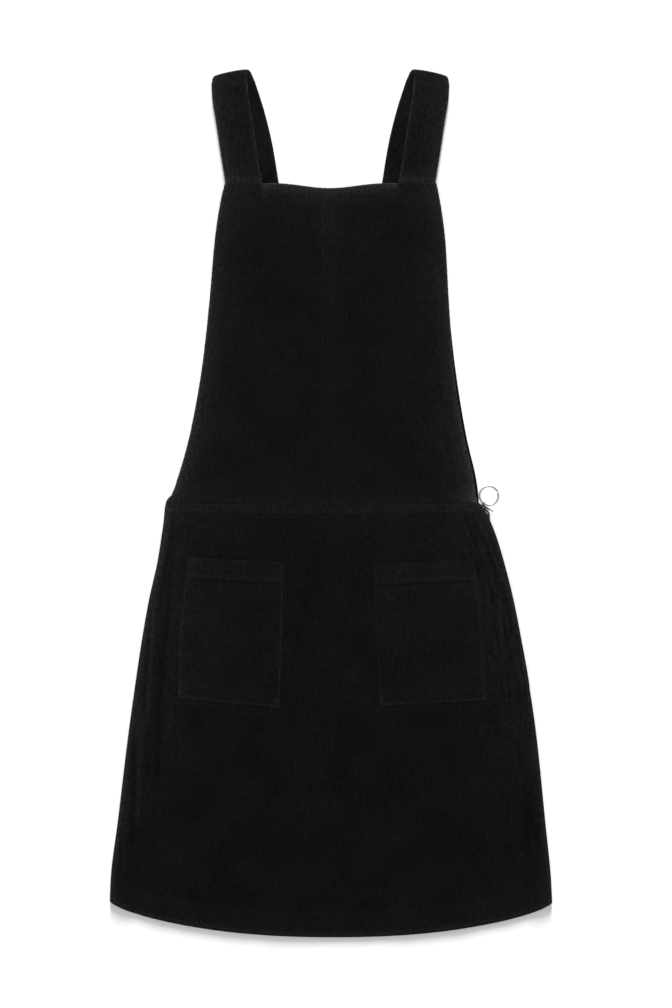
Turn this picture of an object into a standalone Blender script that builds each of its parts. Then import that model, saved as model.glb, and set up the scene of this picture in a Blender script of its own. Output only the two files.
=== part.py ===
"""Black corduroy pinafore dress, laid flat on its back.

The dress lies on the plane z = 0 with its straps towards +Y and its front towards +Z. The origin is the
middle of its underside. The cloth is built as walls: each panel is a surface worked out from the tables
below, given its thickness by Solidify. The back panels rest on the surface, the front panels lie on them,
and the two skirt panels roll over to meet at the side seams. A zip runs down the side seam at +X, and its
slider carries a pull ring that swings about the slider's eye.
"""

import math
from collections import namedtuple

import bmesh
import bpy
import numpy as np

MM = 0.001

# cloth and clearances
CLOTH = 1.5 * MM  # one layer of corduroy
BAND = 2.2 * MM  # a strap, two layers pressed together
SEAM = 0.3 * MM  # gap between pieces that are sewn together
LAY = 0.5 * MM  # gap under a pocket, which follows the panel below it
LOFT = 0.6 * MM  # how far the front stands off the back where it lies loosely
LEVEL = 2 * CLOTH + SEAM + LOFT  # top of the front over the back, away from edges and folds
CENTRE_X = -1.6 * MM  # centre-front seam

# seam bands, where the allowance lies under the topstitching
SEAM_RISE = 0.5 * MM
WAIST_BAND = 8.6 * MM
HEM_BAND = 21.0 * MM
CENTRE_BAND_LEFT = 8.0 * MM
CENTRE_BAND_RIGHT = 5.4 * MM

# outlines, in millimetres from the origin
BibRow = namedtuple("BibRow", "y left right back_right")
BIB = (
    BibRow(0, -173.4, 153.4, 156.0),
    BibRow(4.5, -171.7, 152.5, 155.9),
    BibRow(8, -167.7, 151.9, 155.5),
    BibRow(24, -161.7, 149.8, 152.7),
    BibRow(66, -149.6, 140.4, 143.0),
    BibRow(108, -141.0, 132.9, 135.5),
    BibRow(150, -134.4, 127.9, 129.5),
    BibRow(213, -127.5, 123.6, 123.0),
    BibRow(276, -121.9, 119.9, 118.4),
    BibRow(320, -115.1, 113.8, 112.6),
    BibRow(335.5, -111.3, 110.6, 109.4),
)
SkirtRow = namedtuple("SkirtRow", "y left right back_right")
SKIRT = (
    SkirtRow(0, -173.4, 156.4, 152.4),
    SkirtRow(-5, -174.5, 159.0, 153.4),
    SkirtRow(-8, -174.8, 161.6, 157.2),
    SkirtRow(-12.5, -175.3, 164.7, 164.0),
    SkirtRow(-18, -175.8, 166.5, 166.5),
    SkirtRow(-28, -177.1, 170.9, 170.9),
    SkirtRow(-60, -181.9, 181.0, 181.0),
    SkirtRow(-101.6, -191.1, 191.5, 191.5),
    SkirtRow(-143.6, -198.5, 199.8, 199.8),
    SkirtRow(-185.6, -204.8, 207.4, 207.4),
    SkirtRow(-248, -213.4, 216.2, 216.2),
    SkirtRow(-332, -223.5, 224.8, 224.8),
    SkirtRow(-396, -231.3, 231.1, 231.1),
    SkirtRow(-418.9, -232.2, 232.2, 232.2),
)
BIB_TOP = 335.5 * MM
BIB_DIP = 4.8 * MM  # how far the top edge dips between the straps
BACK_TOP = 311.0 * MM  # top edge of the back bib, hidden under the front
WAIST_SAG = 1.5 * MM
HEM_CORNER = 418.9 * MM
HEM_CENTRE = 455.4 * MM
HEM_BOW = (0.85, 2.3, 0.15, 14.0)  # two shares and powers of the hem's rise from centre to corner
HEM_SKEW = 0.7 * MM  # how much lower the right corner hangs than the mean of both

# how the side edges of the skirt stand: height of the puffed side over the level, how far its crest and
# its foot are from the edge, how fully the edges roll over to face each other, and their heights
EdgeRow = namedtuple("EdgeRow", "y hump crest foot roll front back")
LEFT_EDGE = (
    EdgeRow(0, 0.0, 6, 16, 0.0, 3.8, 0.05),
    EdgeRow(-25, 3.0, 6, 14, 0.6, 4.8, 2.0),
    EdgeRow(-42, 4.2, 6, 13, 0.9, 4.65, 2.6),
    EdgeRow(-60, 4.6, 6, 13, 1.0, 4.05, 3.35),
    EdgeRow(-101, 4.7, 7, 16, 1.0, 4.05, 3.35),
    EdgeRow(-143, 4.6, 11, 21, 1.0, 4.05, 3.35),
    EdgeRow(-230, 4.4, 17, 28, 1.0, 4.05, 3.35),
    EdgeRow(-330, 3.8, 16, 30, 1.0, 4.05, 3.35),
    EdgeRow(-418.9, 2.6, 10, 30, 1.0, 4.05, 3.35),
)
RIGHT_EDGE = (
    EdgeRow(0, 0.0, 8, 34, 0.0, 9.7, 0.05),
    EdgeRow(-14, 6.1, 8, 34, 0.0, 9.8, 0.05),
    EdgeRow(-186, 6.1, 8, 36, 0.0, 9.8, 0.05),
    EdgeRow(-203, 5.2, 8, 36, 0.6, 5.4, 2.0),
    EdgeRow(-216, 4.7, 8, 35, 0.9, 4.65, 2.6),
    EdgeRow(-232, 4.4, 8, 34, 1.0, 4.05, 3.35),
    EdgeRow(-330, 4.2, 8, 34, 1.0, 4.05, 3.35),
    EdgeRow(-418.9, 2.6, 8, 30, 1.0, 4.05, 3.35),
)
FLAT_LIP = 10.0 * MM  # reach of an edge that doesn't roll
ROLL_SHAPE = 1.25  # reach of a rolled edge as a share of its height

# the largest creases: from y_from down to y_to, with the x of the line at its start, middle and end,
# its half width and its height, which is negative for a trough
Crease = namedtuple("Crease", "y_from y_to x_from x_mid x_to half height")
CREASES = (
    Crease(-50, -250, -164, -166, -170, 7.0, 1.5),
    Crease(-232, -372, -206.5, -207.5, -210, 4.5, -2.2),
    Crease(-215, -385, -199, -200, -203, 6.0, 1.1),
    Crease(-30, -105, 164, 169, 176, 5.0, -1.4),
    Crease(-95, -190, 182, 185, 189, 5.5, -1.6),
    Crease(-190, -300, 188, 194, 197, 7.0, 1.3),
    Crease(-300, -405, 205, 209, 213, 7.0, -1.2),
)
# slow swells of the loosely lying front: wavelengths along x and y in mm, phase, height in mm
Swell = namedtuple("Swell", "along_x along_y phase height")
SWELLS = (
    Swell(210, 330, 0.4, 0.22),
    Swell(137, 245, 2.1, 0.16),
    Swell(410, 150, 4.0, 0.14),
)

# straps: rows of the left one's centre line, and the tilt of the line across it in degrees
StrapRow = namedtuple("StrapRow", "y x tilt")
STRAP_FRONT = (
    StrapRow(315.2, -88.2, 9.0),
    StrapRow(337.3, -91.7, 9.0),
    StrapRow(371.0, -97.1, 8.5),
    StrapRow(402.4, -101.8, 7.0),
    StrapRow(428.0, -105.8, 6.0),
    StrapRow(441.0, -106.7, 8.0),
)
STRAP_BACK = (
    StrapRow(437.0, -98.0, 17.0),
    StrapRow(408.3, -88.8, 15.5),
    StrapRow(374.6, -80.5, 11.5),
    StrapRow(333.2, -73.6, 9.5),
    StrapRow(311.4, -70.4, 0.0),
)
STRAP_WIDTH = 38.0 * MM
StrapFold = namedtuple("StrapFold", "x y tilt")
STRAP_FOLD = StrapFold(-104.9, 451.3, 11.4)  # middle of the fold over the shoulder, and its tilt in degrees
STRAP_ROUND = 2.6 * MM  # outer radius of that fold, half the height of the folded strap
STRAP_DRIFT = 3.0 * MM  # how far the strap moves sideways while it folds over
STRAP_BOW = 1.7 * MM  # how far the strap's end bows out between its two edges
STRAP_BOW_REACH = 34.0 * MM  # how far below the fold that starts
STRAP_MIRROR = -0.65 * MM  # x of the line between the two straps
BIB_REST = 2 * STRAP_ROUND + SEAM + CLOTH  # top of the bib where it covers a strap's end
BIB_REST_INNER = -66.0 * MM  # inner edge of that raised stretch on the left
BIB_REST_FALL = 26.0 * MM
BIB_REST_LOW = (284.0 * MM, 312.0 * MM)  # it rises between these heights on the bib

# pockets: corners in mm, and how far their long sides bow outwards
Pocket = namedtuple("Pocket", "name top_left top_right bottom_left bottom_right bow_left bow_right")
POCKETS = (
    Pocket("pocket_left", (-148.6, -56.0), (-49.7, -61.0), (-160.3, -203.5), (-54.4, -213.4), 2.6, 0.9),
    Pocket("pocket_right", (44.3, -63.4), (150.5, -58.3), (51.2, -211.5), (162.6, -205.4), 0.9, 2.4),
)
POCKET_PUFF = 0.7 * MM
POCKET_GAPE = 1.0 * MM  # how far the middle of the pocket's mouth stands open
POCKET_HEM = 0.15  # the turned top hem, as a share of the pocket's height
POCKET_HEM_RISE = 0.8 * MM

# zip in the side seam at +X
ZIP_HEADING = math.radians(-34.0)  # direction of the slider's length in the plane of the surface
SLIDER_CORNER = (157.9 * MM, 0.0)  # upper outer corner of the slider's outer plate
SLIDER_LONG = 15.2 * MM
SLIDER_INNER_LONG = 9.5 * MM
SLIDER_DEEP = 6.0 * MM  # from the outer plate's face to the inner plate's
SLIDER_LOW = 0.5 * MM
SLIDER_HIGH = 7.7 * MM
PLATE = 1.0 * MM
NECK_FROM = 0.9 * MM  # the neck's start along the slider
NECK_TO = 5.4 * MM
NECK_HIGH = 3.0 * MM
EYE_ALONG = 2.1 * MM  # the eye's place along the slider
EYE_OUT = 1.15 * MM  # and out of its outer plate
EYE_HOLE = 1.1 * MM  # radius
EYE_OUTER = 1.8 * MM  # radius
EYE_THICK = 1.0 * MM
RING_RADIUS = 9.65 * MM  # to the middle of the wire
RING_WIRE = 0.8 * MM  # radius of the wire
RING_CLEAR = 0.1 * MM  # between the resting ring and the surface
CHAIN_THICK = 2.4 * MM
CHAIN_LOW = 1.9 * MM
CHAIN_HIGH = 7.5 * MM
CHAIN_START = 6.8 * MM  # along the slider
CHAIN_STRAIGHT = 1.7 * MM
CHAIN_DEEP = 3.4 * MM  # its middle, in from the outer plate's face
CHAIN_BEND = 6.0 * MM
CHAIN_BEND_TO = math.radians(-80.0)
ChainRow = namedtuple("ChainRow", "y inset")
CHAIN_INSET = (
    ChainRow(-18, 0.6),
    ChainRow(-26, 0.9),
    ChainRow(-40, 1.6),
    ChainRow(-60, 2.1),
    ChainRow(-182, 2.1),
)
TAPE = 1.0 * MM
TAPE_REACH = (3.8 * MM, 15.0 * MM)  # from the edge to the tape's two sides
TAPE_SPAN = (-42.0 * MM, -180.0 * MM)
# where the slider lifts the front, in mm; above the waist the lift falls away faster
SliderSwell = namedtuple("SliderSwell", "x y reach reach_above height")
SLIDER_SWELL = SliderSwell(158.0, -1.0, 14.0, 6.0, 6.0)

COLOURS = {
    "corduroy": ((0.010, 0.010, 0.012, 1.0), 0.95, 0.0),
    "zip_tape": ((0.012, 0.012, 0.013, 1.0), 0.9, 0.0),
    "zip_metal": ((0.33, 0.29, 0.22, 1.0), 0.35, 1.0),
    "slider_metal": ((0.36, 0.31, 0.23, 1.0), 0.32, 1.0),
    "ring_metal": ((0.72, 0.71, 0.68, 1.0), 0.22, 1.0),
}


def smooth(edge_low, edge_high, value):
    """0 below edge_low, 1 above edge_high, and a smooth step between them."""
    t = np.clip((value - edge_low) / (edge_high - edge_low), 0.0, 1.0)
    return t * t * (3.0 - 2.0 * t)


def column(table, name):
    """One column of a table as it stands there."""
    return np.array([getattr(row, name) for row in table], float)


def curve(knots, values, at):
    """Monotone cubic through the knots, which never overshoots between them."""
    order = np.argsort(knots)
    k = np.asarray(knots, float)[order]
    v = np.asarray(values, float)[order]
    step = np.diff(k)
    slope = np.diff(v) / step
    tangent = np.zeros_like(v)
    same = slope[:-1] * slope[1:] > 0
    weight_a = 2 * step[1:] + step[:-1]
    weight_b = step[1:] + 2 * step[:-1]
    safe_low = np.where(same, slope[:-1], 1.0)
    safe_high = np.where(same, slope[1:], 1.0)
    mean = (weight_a + weight_b) / (weight_a / safe_low + weight_b / safe_high)
    tangent[1:-1] = np.where(same, mean, 0.0)
    tangent[0] = slope[0]
    tangent[-1] = slope[-1]
    x = np.clip(at, k[0], k[-1])
    i = np.clip(np.searchsorted(k, x, side="right") - 1, 0, len(k) - 2)
    t = (x - k[i]) / step[i]
    h00 = (1 + 2 * t) * (1 - t) ** 2
    h10 = t * (1 - t) ** 2
    h01 = t * t * (3 - 2 * t)
    h11 = t * t * (t - 1)
    return h00 * v[i] + h10 * step[i] * tangent[i] + h01 * v[i + 1] + h11 * step[i] * tangent[i + 1]


def table_at(table, name, y):
    """A column of a table at the heights y, all lengths in metres."""
    return share_at(table, name, y) * MM


def share_at(table, name, y):
    """A plain share of a table at the heights y."""
    return curve(column(table, "y") * MM, column(table, name), y)


def hem_y(share):
    """y of the hem where share runs from -1 at the left corner to 1 at the right."""
    a, p, b, q = HEM_BOW
    rise = a * np.abs(share) ** p + b * np.abs(share) ** q
    return -HEM_CENTRE + (HEM_CENTRE - HEM_CORNER) * rise - HEM_SKEW * share


def waist_y(share):
    """y of the waist seam, a shallow sag between the corners."""
    return -WAIST_SAG * (1 - share * share)


def bib_top_y(share):
    """y of the bib's top edge, which dips in the middle half."""
    dip = np.where(np.abs(share) < 0.5, np.cos(np.pi * share) ** 2, 0.0)
    return BIB_TOP - BIB_DIP * dip


def crease_height(x, y):
    """Sum of the creases: each a bell across its line, fading at both ends."""
    total = np.zeros_like(x)
    for c in CREASES:
        run = np.clip((y / MM - c.y_from) / (c.y_to - c.y_from), 0.0, 1.0)
        line = (1 - run) ** 2 * c.x_from + 2 * run * (1 - run) * c.x_mid + run**2 * c.x_to
        fade = np.sin(np.pi * run) ** 0.8
        total += c.height * MM * fade * np.exp(-(((x / MM - line) / c.half) ** 2))
    return total


def swell_height(x, y):
    """Slow swells of the front panels."""
    total = np.zeros_like(x)
    for s in SWELLS:
        turn = 2 * np.pi * (x / MM / s.along_x + y / MM / s.along_y) + s.phase
        total += s.height * MM * np.sin(turn)
    return total


def strap_rest(x, y):
    """How far the bib is raised where it covers the ends of the straps."""
    side = STRAP_MIRROR - np.abs(x - STRAP_MIRROR)
    across = 1 - smooth(BIB_REST_INNER, BIB_REST_INNER + BIB_REST_FALL, side)
    return (BIB_REST - LEVEL + swell_room()) * across * smooth(*BIB_REST_LOW, y)


def swell_room():
    """The most that the swells can lower the front."""
    return sum(s.height for s in SWELLS) * MM


def front_level(x, y):
    """Top of the front panels away from the skirt's sides."""
    swell = SLIDER_SWELL
    reach = np.where(y > swell.y * MM, swell.reach_above, swell.reach)
    away = ((x / MM - swell.x) / swell.reach) ** 2 + ((y / MM - swell.y) / reach) ** 2
    bump = swell.height * MM * np.exp(-away / 2)
    return LEVEL + swell_height(x, y) + strap_rest(x, y) + bump


def side_hump(table, inset, y):
    """The puffed side of the skirt: full up to its crest, then down to its foot."""
    crest = table_at(table, "crest", y)
    foot = table_at(table, "foot", y)
    t = np.clip((inset - crest) / (foot - crest), 0.0, 1.0)
    return table_at(table, "hump", y) * 0.5 * (1 + np.cos(np.pi * t))


def skirt_level(x, y, left, right):
    """Top of the skirt front inside its rolled edges. left and right are the insets from the two sides."""
    plain = front_level(x, y) - LEVEL
    puff = side_hump(LEFT_EDGE, left, y) + side_hump(RIGHT_EDGE, right, y)
    raised = (np.clip(plain, 0, None) ** 4 + puff**4) ** 0.25 + np.clip(plain, None, 0)
    return np.maximum(LEVEL + raised + crease_height(x, y), LEVEL - swell_room())


def roll_columns(table, y, height, steps):
    """Insets of the columns over a rolled edge, with the share of the height reached at each."""
    roll = share_at(table, "roll", y)[:, None]
    reach = roll * ROLL_SHAPE * height[:, None] + (1 - roll) * FLAT_LIP
    turn = np.linspace(0.0, 1.0, steps)[None, :] ** 1.5 * np.pi / 2
    along = roll * (1 - np.cos(turn)) + (1 - roll) * turn * 2 / np.pi
    return reach * along, np.sin(turn) * np.ones_like(along)


def new_object(name, mesh, parent=None):
    """An object for the mesh, linked to the scene."""
    made = bpy.data.objects.new(name, mesh)
    bpy.context.scene.collection.objects.link(made)
    made.parent = parent
    return made


def finish(made, slot):
    """Gives the object its own material in the colours of a slot."""
    colour, roughness, metallic = COLOURS[slot]
    material = bpy.data.materials.new(made.name + "_" + slot)
    material.use_nodes = True
    shader = material.node_tree.nodes["Principled BSDF"]
    shader.inputs["Base Color"].default_value = colour
    shader.inputs["Roughness"].default_value = roughness
    shader.inputs["Metallic"].default_value = metallic
    made.data.materials.append(material)
    return made


def cloth_wall(name, points, slot, thickness=CLOTH, facing_up=True):
    """A wall on the outer surface whose points are rows by columns by xyz."""
    rows, columns = points.shape[:2]
    index = np.arange(rows * columns).reshape(rows, columns)
    quads = np.stack([index[:-1, :-1], index[1:, :-1], index[1:, 1:], index[:-1, 1:]], axis=-1).reshape(-1, 4)
    a, b, c = points[0, 0], points[1, 0], points[1, 1]
    if (np.cross(b - a, c - a)[2] > 0) != facing_up:
        quads = quads[:, ::-1]
    mesh = bpy.data.meshes.new(name)
    mesh.from_pydata(points.reshape(-1, 3).tolist(), [], quads.tolist())
    made = new_object(name, mesh)
    wall = made.modifiers.new("wall", "SOLIDIFY")
    wall.thickness = thickness
    wall.offset = -1.0
    wall.use_even_offset = True
    wall.use_quality_normals = True
    mesh.shade_smooth()
    return finish(made, slot)


def spread(low, high, count):
    """Evenly spread values between two ends, without the ends."""
    return np.linspace(low, high, count + 2)[1:-1]


def skirt_rows():
    """Distances down the side seam, closer together at the waist band and the hem band."""
    waist = np.array([SEAM / 2, 0.4 * WAIST_BAND, WAIST_BAND, WAIST_BAND + 3 * MM, 20 * MM, 32 * MM])
    body = spread(32 * MM, HEM_CORNER - HEM_BAND - 2 * MM, 18)
    hem = HEM_CORNER - np.array([HEM_BAND + 2 * MM, HEM_BAND, 3 * MM, 0.0])
    return -np.concatenate([waist, body, hem])


def skirt_front_points(side_steps=5, side_insets=(13, 17, 21, 25.5, 30, 36, 44), middle=12):
    """Outer surface of the skirt front, rolled over at both sides."""
    y_edge = skirt_rows()
    left_x = table_at(SKIRT, "left", y_edge)
    right_x = table_at(SKIRT, "right", y_edge)
    inset = np.array(side_insets) * MM
    sides = []
    for table in (LEFT_EDGE, RIGHT_EDGE):
        top = LEVEL + table_at(table, "hump", y_edge) - table_at(table, "front", y_edge)
        sides.append(roll_columns(table, y_edge, np.abs(top), side_steps))
    (left_roll, left_share), (right_roll, right_share) = sides
    ones = np.ones((len(y_edge), 1))
    left_part = left_x[:, None] + np.hstack([left_roll, ones * inset])
    right_part = right_x[:, None] - np.hstack([right_roll, ones * inset])[:, ::-1]
    t = np.linspace(0, 1, middle + 2)[1:-1]
    middle_part = left_part[:, -1:] * (1 - t) + right_part[:, :1] * t
    x = np.hstack([left_part, middle_part, right_part])
    share = 2 * (x - left_x[:, None]) / (right_x - left_x)[:, None] - 1
    down = (y_edge / -HEM_CORNER)[:, None]
    y = waist_y(share) * (1 - down) - SEAM / 2 + down * (hem_y(share) + SEAM / 2)
    from_left = x - left_x[:, None]
    from_right = right_x[:, None] - x
    z = skirt_level(x, y, from_left, from_right)
    z += SEAM_RISE * (1 - smooth(0.8 * WAIST_BAND, WAIST_BAND + 2 * MM, -y + waist_y(share)))
    to_hem = y - hem_y(share)
    z += SEAM_RISE * (1 - smooth(0.9 * HEM_BAND, HEM_BAND + 1 * MM, to_hem)) * smooth(0, 2 * MM, to_hem)
    front_left = table_at(LEFT_EDGE, "front", y_edge)[:, None]
    front_right = table_at(RIGHT_EDGE, "front", y_edge)[:, None]
    z[:, :side_steps] = front_left + (z[:, :side_steps] - front_left) * left_share
    z[:, -side_steps:] = front_right + (z[:, -side_steps:] - front_right) * right_share[:, ::-1]
    return np.stack([x, y, z], axis=-1)


def skirt_back_points(side_steps=4, middle=7):
    """Underside of the skirt back, flat where it rests and turned up at the side seams."""
    y_edge = skirt_rows()
    left_x = table_at(SKIRT, "left", y_edge)
    right_x = table_at(SKIRT, "back_right", y_edge)
    parts = []
    for table in (LEFT_EDGE, RIGHT_EDGE):
        rise = table_at(table, "back", y_edge)
        inset, share = roll_columns(table, y_edge, rise, side_steps)
        parts.append((inset, rise[:, None] * (1 - share)))
    (left_roll, left_z), (right_roll, right_z) = parts
    left_part = left_x[:, None] + left_roll
    right_part = (right_x[:, None] - right_roll)[:, ::-1]
    t = np.linspace(0, 1, middle + 2)[1:-1]
    middle_part = left_part[:, -1:] * (1 - t) + right_part[:, :1] * t
    x = np.hstack([left_part, middle_part, right_part])
    share = 2 * (x - left_x[:, None]) / (right_x - left_x)[:, None] - 1
    down = (y_edge / -HEM_CORNER)[:, None]
    y = waist_y(share) * (1 - down) - SEAM / 2 + down * (hem_y(share) + SEAM / 2)
    z = np.hstack([left_z, np.zeros_like(middle_part), right_z[:, ::-1]])
    return np.stack([x, y, z], axis=-1)


def bib_front_points(side, rows=17, columns=9):
    """Outer surface of one half of the front bib. side is "left" or "right"."""
    up = np.linspace(0, 1, rows) ** 1.15
    y_edge = SEAM / 2 + up * (BIB_TOP - SEAM / 2)
    edge = table_at(BIB, side, y_edge)
    if side == "left":
        seam, band = CENTRE_X - SEAM / 2, -CENTRE_BAND_LEFT
    else:
        seam, band = CENTRE_X + SEAM / 2, CENTRE_BAND_RIGHT
    outer = np.linspace(0, 1, columns - 3) ** 1.2
    x = edge[:, None] * (1 - outer) + (seam + 1.3 * band) * outer
    over_seam = np.tile(seam + np.array([band, 0.45 * band, 0.0]), (rows, 1))
    x = np.hstack([x, over_seam])
    half = table_at(BIB, "right", y_edge)[:, None] - CENTRE_X
    half_left = CENTRE_X - table_at(BIB, "left", y_edge)[:, None]
    share = (x - CENTRE_X) / np.where(x > CENTRE_X, half, half_left)
    y = (waist_y(share) + SEAM / 2) * (1 - up[:, None]) + up[:, None] * bib_top_y(share)
    z = front_level(x, y)
    z += SEAM_RISE * (1 - smooth(0.9 * abs(band), 1.2 * abs(band), np.abs(x - seam)))
    return np.stack([x, y, z], axis=-1)


def bib_back_points(rows=11, columns=8):
    """Underside of the back bib, flat on the surface."""
    up = np.linspace(0, 1, rows)
    y_edge = SEAM / 2 + up * (BACK_TOP - SEAM / 2)
    left = table_at(BIB, "left", y_edge) + 3 * MM * (1 - smooth(100 * MM, 200 * MM, y_edge)) + 1 * MM
    right = table_at(BIB, "back_right", y_edge)
    t = np.linspace(0, 1, columns)
    x = left[:, None] * (1 - t) + right[:, None] * t
    share = 2 * t[None, :] - 1
    y = (waist_y(share) + SEAM / 2) * (1 - up[:, None]) + up[:, None] * BACK_TOP
    return np.stack([x, y, np.zeros_like(x)], axis=-1)


def strap_points(mirrored, front_rows=11, fold_rows=7, back_rows=11, columns=9):
    """Outer surface of a strap: up the front, over the shoulder fold, down the back under it.

    It drifts sideways over the fold, and its end bows out by one minus the cube of the way across.
    """
    tilt = math.radians(STRAP_FOLD.tilt)
    out = np.array([-math.sin(tilt), math.cos(tilt)])
    across = np.array([math.cos(tilt), math.sin(tilt)])
    pivot = np.array([STRAP_FOLD.x, STRAP_FOLD.y]) * MM - STRAP_ROUND * out
    runs = []
    for table, count, z in ((STRAP_FRONT, front_rows, 2 * STRAP_ROUND), (STRAP_BACK, back_rows, 0.0)):
        y = np.linspace(table[0].y, table[-1].y, count) * MM
        turned = np.radians(share_at(table, "tilt", y))
        runs.append(np.stack([table_at(table, "x", y), y, np.full(count, z), turned], axis=-1))
    turn = np.linspace(0, np.pi, fold_rows)[:, None]
    plan = pivot + STRAP_ROUND * np.sin(turn) * out + STRAP_DRIFT * (turn / np.pi - 0.5) * across
    fold = np.hstack([plan, STRAP_ROUND * (1 + np.cos(turn)), np.full_like(turn, tilt)])
    line = np.concatenate([runs[0], fold, runs[1]])
    share = np.linspace(-1, 1, columns)
    bow = STRAP_BOW * smooth(pivot[1] - STRAP_BOW_REACH, pivot[1], line[:, 1:2]) * (1 - np.abs(share) ** 3)
    half = share * STRAP_WIDTH / 2
    x = line[:, None, 0] + half * np.cos(line[:, None, 3]) + bow * out[0]
    y = line[:, None, 1] + half * np.sin(line[:, None, 3]) + bow * out[1]
    z = line[:, None, 2] * np.ones_like(x)
    if mirrored:
        x = 2 * STRAP_MIRROR - x
    return np.stack([x, y, z], axis=-1)


def skirt_top_at(x, y):
    """Top of the skirt front at points well inside its rolled edges."""
    left_x = table_at(SKIRT, "left", y)
    right_x = table_at(SKIRT, "right", y)
    return skirt_level(x, y, x - left_x, right_x - x)


def pocket_points(pocket, rows=13, columns=9):
    """Outer surface of a patch pocket, from the skirt's own points moved out."""
    down = np.sort(np.append(np.linspace(0, 1, rows - 1), POCKET_HEM * 1.05))[:, None]
    across = np.linspace(0, 1, columns)[None, :]
    corners = [np.array(c) * MM for c in pocket[1:5]]
    top = corners[0] * (1 - across[..., None]) + corners[1] * across[..., None]
    bottom = corners[2] * (1 - across[..., None]) + corners[3] * across[..., None]
    plan = top * (1 - down[..., None]) + bottom * down[..., None]
    bow = np.sin(np.pi * down) * (pocket.bow_right * across - pocket.bow_left * (1 - across)) * MM
    x, y = plan[..., 0] + bow, plan[..., 1]
    crown = np.sin(np.pi * across) ** 0.7
    puff = POCKET_PUFF * crown * np.sin(np.pi * down) ** 0.7
    gape = POCKET_GAPE * crown * (1 - smooth(0.0, 0.3, down))
    hem = POCKET_HEM_RISE * (1 - smooth(POCKET_HEM * 0.95, POCKET_HEM * 1.1, down)) * (0.4 + 0.6 * crown)
    z = skirt_top_at(x, y) + LAY + CLOTH + puff + gape + hem
    return np.stack([x, y, z], axis=-1)


def tape_points(front, rows=12):
    """One side of the zip tape, lying inside against the skirt front or the skirt back."""
    y = np.linspace(*TAPE_SPAN, rows)[:, None]
    inset = np.linspace(*TAPE_REACH, 3)[None, :]
    edge = table_at(SKIRT, "right", y)
    x = edge - inset
    y = y * np.ones_like(x)
    if front:
        z = skirt_top_at(x, y) - CLOTH - LAY
    else:
        z = np.full_like(x, CLOTH + SEAM + TAPE)
    return np.stack([x, y, z], axis=-1)


def chain_route():
    """Middle line of the closed teeth: out of the slider, round its bend and down inside the edge."""
    along = np.array([math.cos(ZIP_HEADING), math.sin(ZIP_HEADING)])
    outward = np.array([-along[1], along[0]])
    start = np.array(SLIDER_CORNER) + CHAIN_START * along - CHAIN_DEEP * outward
    straight = start + CHAIN_STRAIGHT * along
    pivot = straight - CHAIN_BEND * outward
    turn = np.linspace(ZIP_HEADING, CHAIN_BEND_TO, 6)[:, None]
    bend = pivot + CHAIN_BEND * np.hstack([-np.sin(turn), np.cos(turn)])
    y = np.concatenate([np.linspace(-18, -60, 6), np.linspace(-75, -182, 9)]) * MM
    x = table_at(SKIRT, "right", y) - table_at(CHAIN_INSET, "inset", y)
    return np.vstack([start, bend, np.stack([x, y], axis=-1)])


def prism_along(name, route, half, low, high, slot):
    """A bar of rectangular section carried along a route in the plane."""
    tangent = np.gradient(route, axis=0)
    tangent /= np.linalg.norm(tangent, axis=1, keepdims=True)
    side = np.stack([-tangent[:, 1], tangent[:, 0]], axis=-1) * half
    mesh = bmesh.new()
    loops = []
    for centre, out in zip(route, side):
        ring = [(centre + out, low), (centre - out, low), (centre - out, high), (centre + out, high)]
        loops.append([mesh.verts.new((*plan, z)) for plan, z in ring])
    for here, there in zip(loops, loops[1:]):
        for i in range(4):
            j = (i + 1) % 4
            mesh.faces.new((here[i], here[j], there[j], there[i]))
    mesh.faces.new(loops[0][::-1])
    mesh.faces.new(loops[-1])
    bmesh.ops.recalc_face_normals(mesh, faces=mesh.faces)
    data = bpy.data.meshes.new(name)
    mesh.to_mesh(data)
    mesh.free()
    return finish(new_object(name, data), slot)


def box_object(name, low, high, parent, bevel=0.0):
    """A box between two corners in the parent's axes, with rounded edges if bevel is given."""
    mesh = bmesh.new()
    bmesh.ops.create_cube(mesh, size=1.0)
    size = [b - a for a, b in zip(low, high)]
    bmesh.ops.scale(mesh, vec=size, verts=mesh.verts)
    bmesh.ops.translate(mesh, vec=[(a + b) / 2 for a, b in zip(low, high)], verts=mesh.verts)
    if bevel:
        bmesh.ops.bevel(mesh, geom=mesh.edges[:], offset=bevel, segments=1, affect="EDGES")
    data = bpy.data.meshes.new(name)
    mesh.to_mesh(data)
    mesh.free()
    return new_object(name, data, parent)


def drum_object(name, radius, length, centre, parent, sides=20):
    """A cylinder along the parent's x axis."""
    mesh = bmesh.new()
    bmesh.ops.create_cone(mesh, cap_ends=True, segments=sides, radius1=radius, radius2=radius, depth=length)
    turned = [(v.co.z + centre[0], v.co.y + centre[1], -v.co.x + centre[2]) for v in mesh.verts]
    for v, co in zip(mesh.verts, turned):
        v.co = co
    data = bpy.data.meshes.new(name)
    mesh.to_mesh(data)
    mesh.free()
    return new_object(name, data, parent)


def combine(made, other, operation):
    """Joins other to made, or cuts it out, by a Boolean on made."""
    step = made.modifiers.new(operation.lower() + "_" + other.name, "BOOLEAN")
    step.operation = operation
    step.object = other
    other.hide_render = True
    other.display_type = "WIRE"


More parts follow.
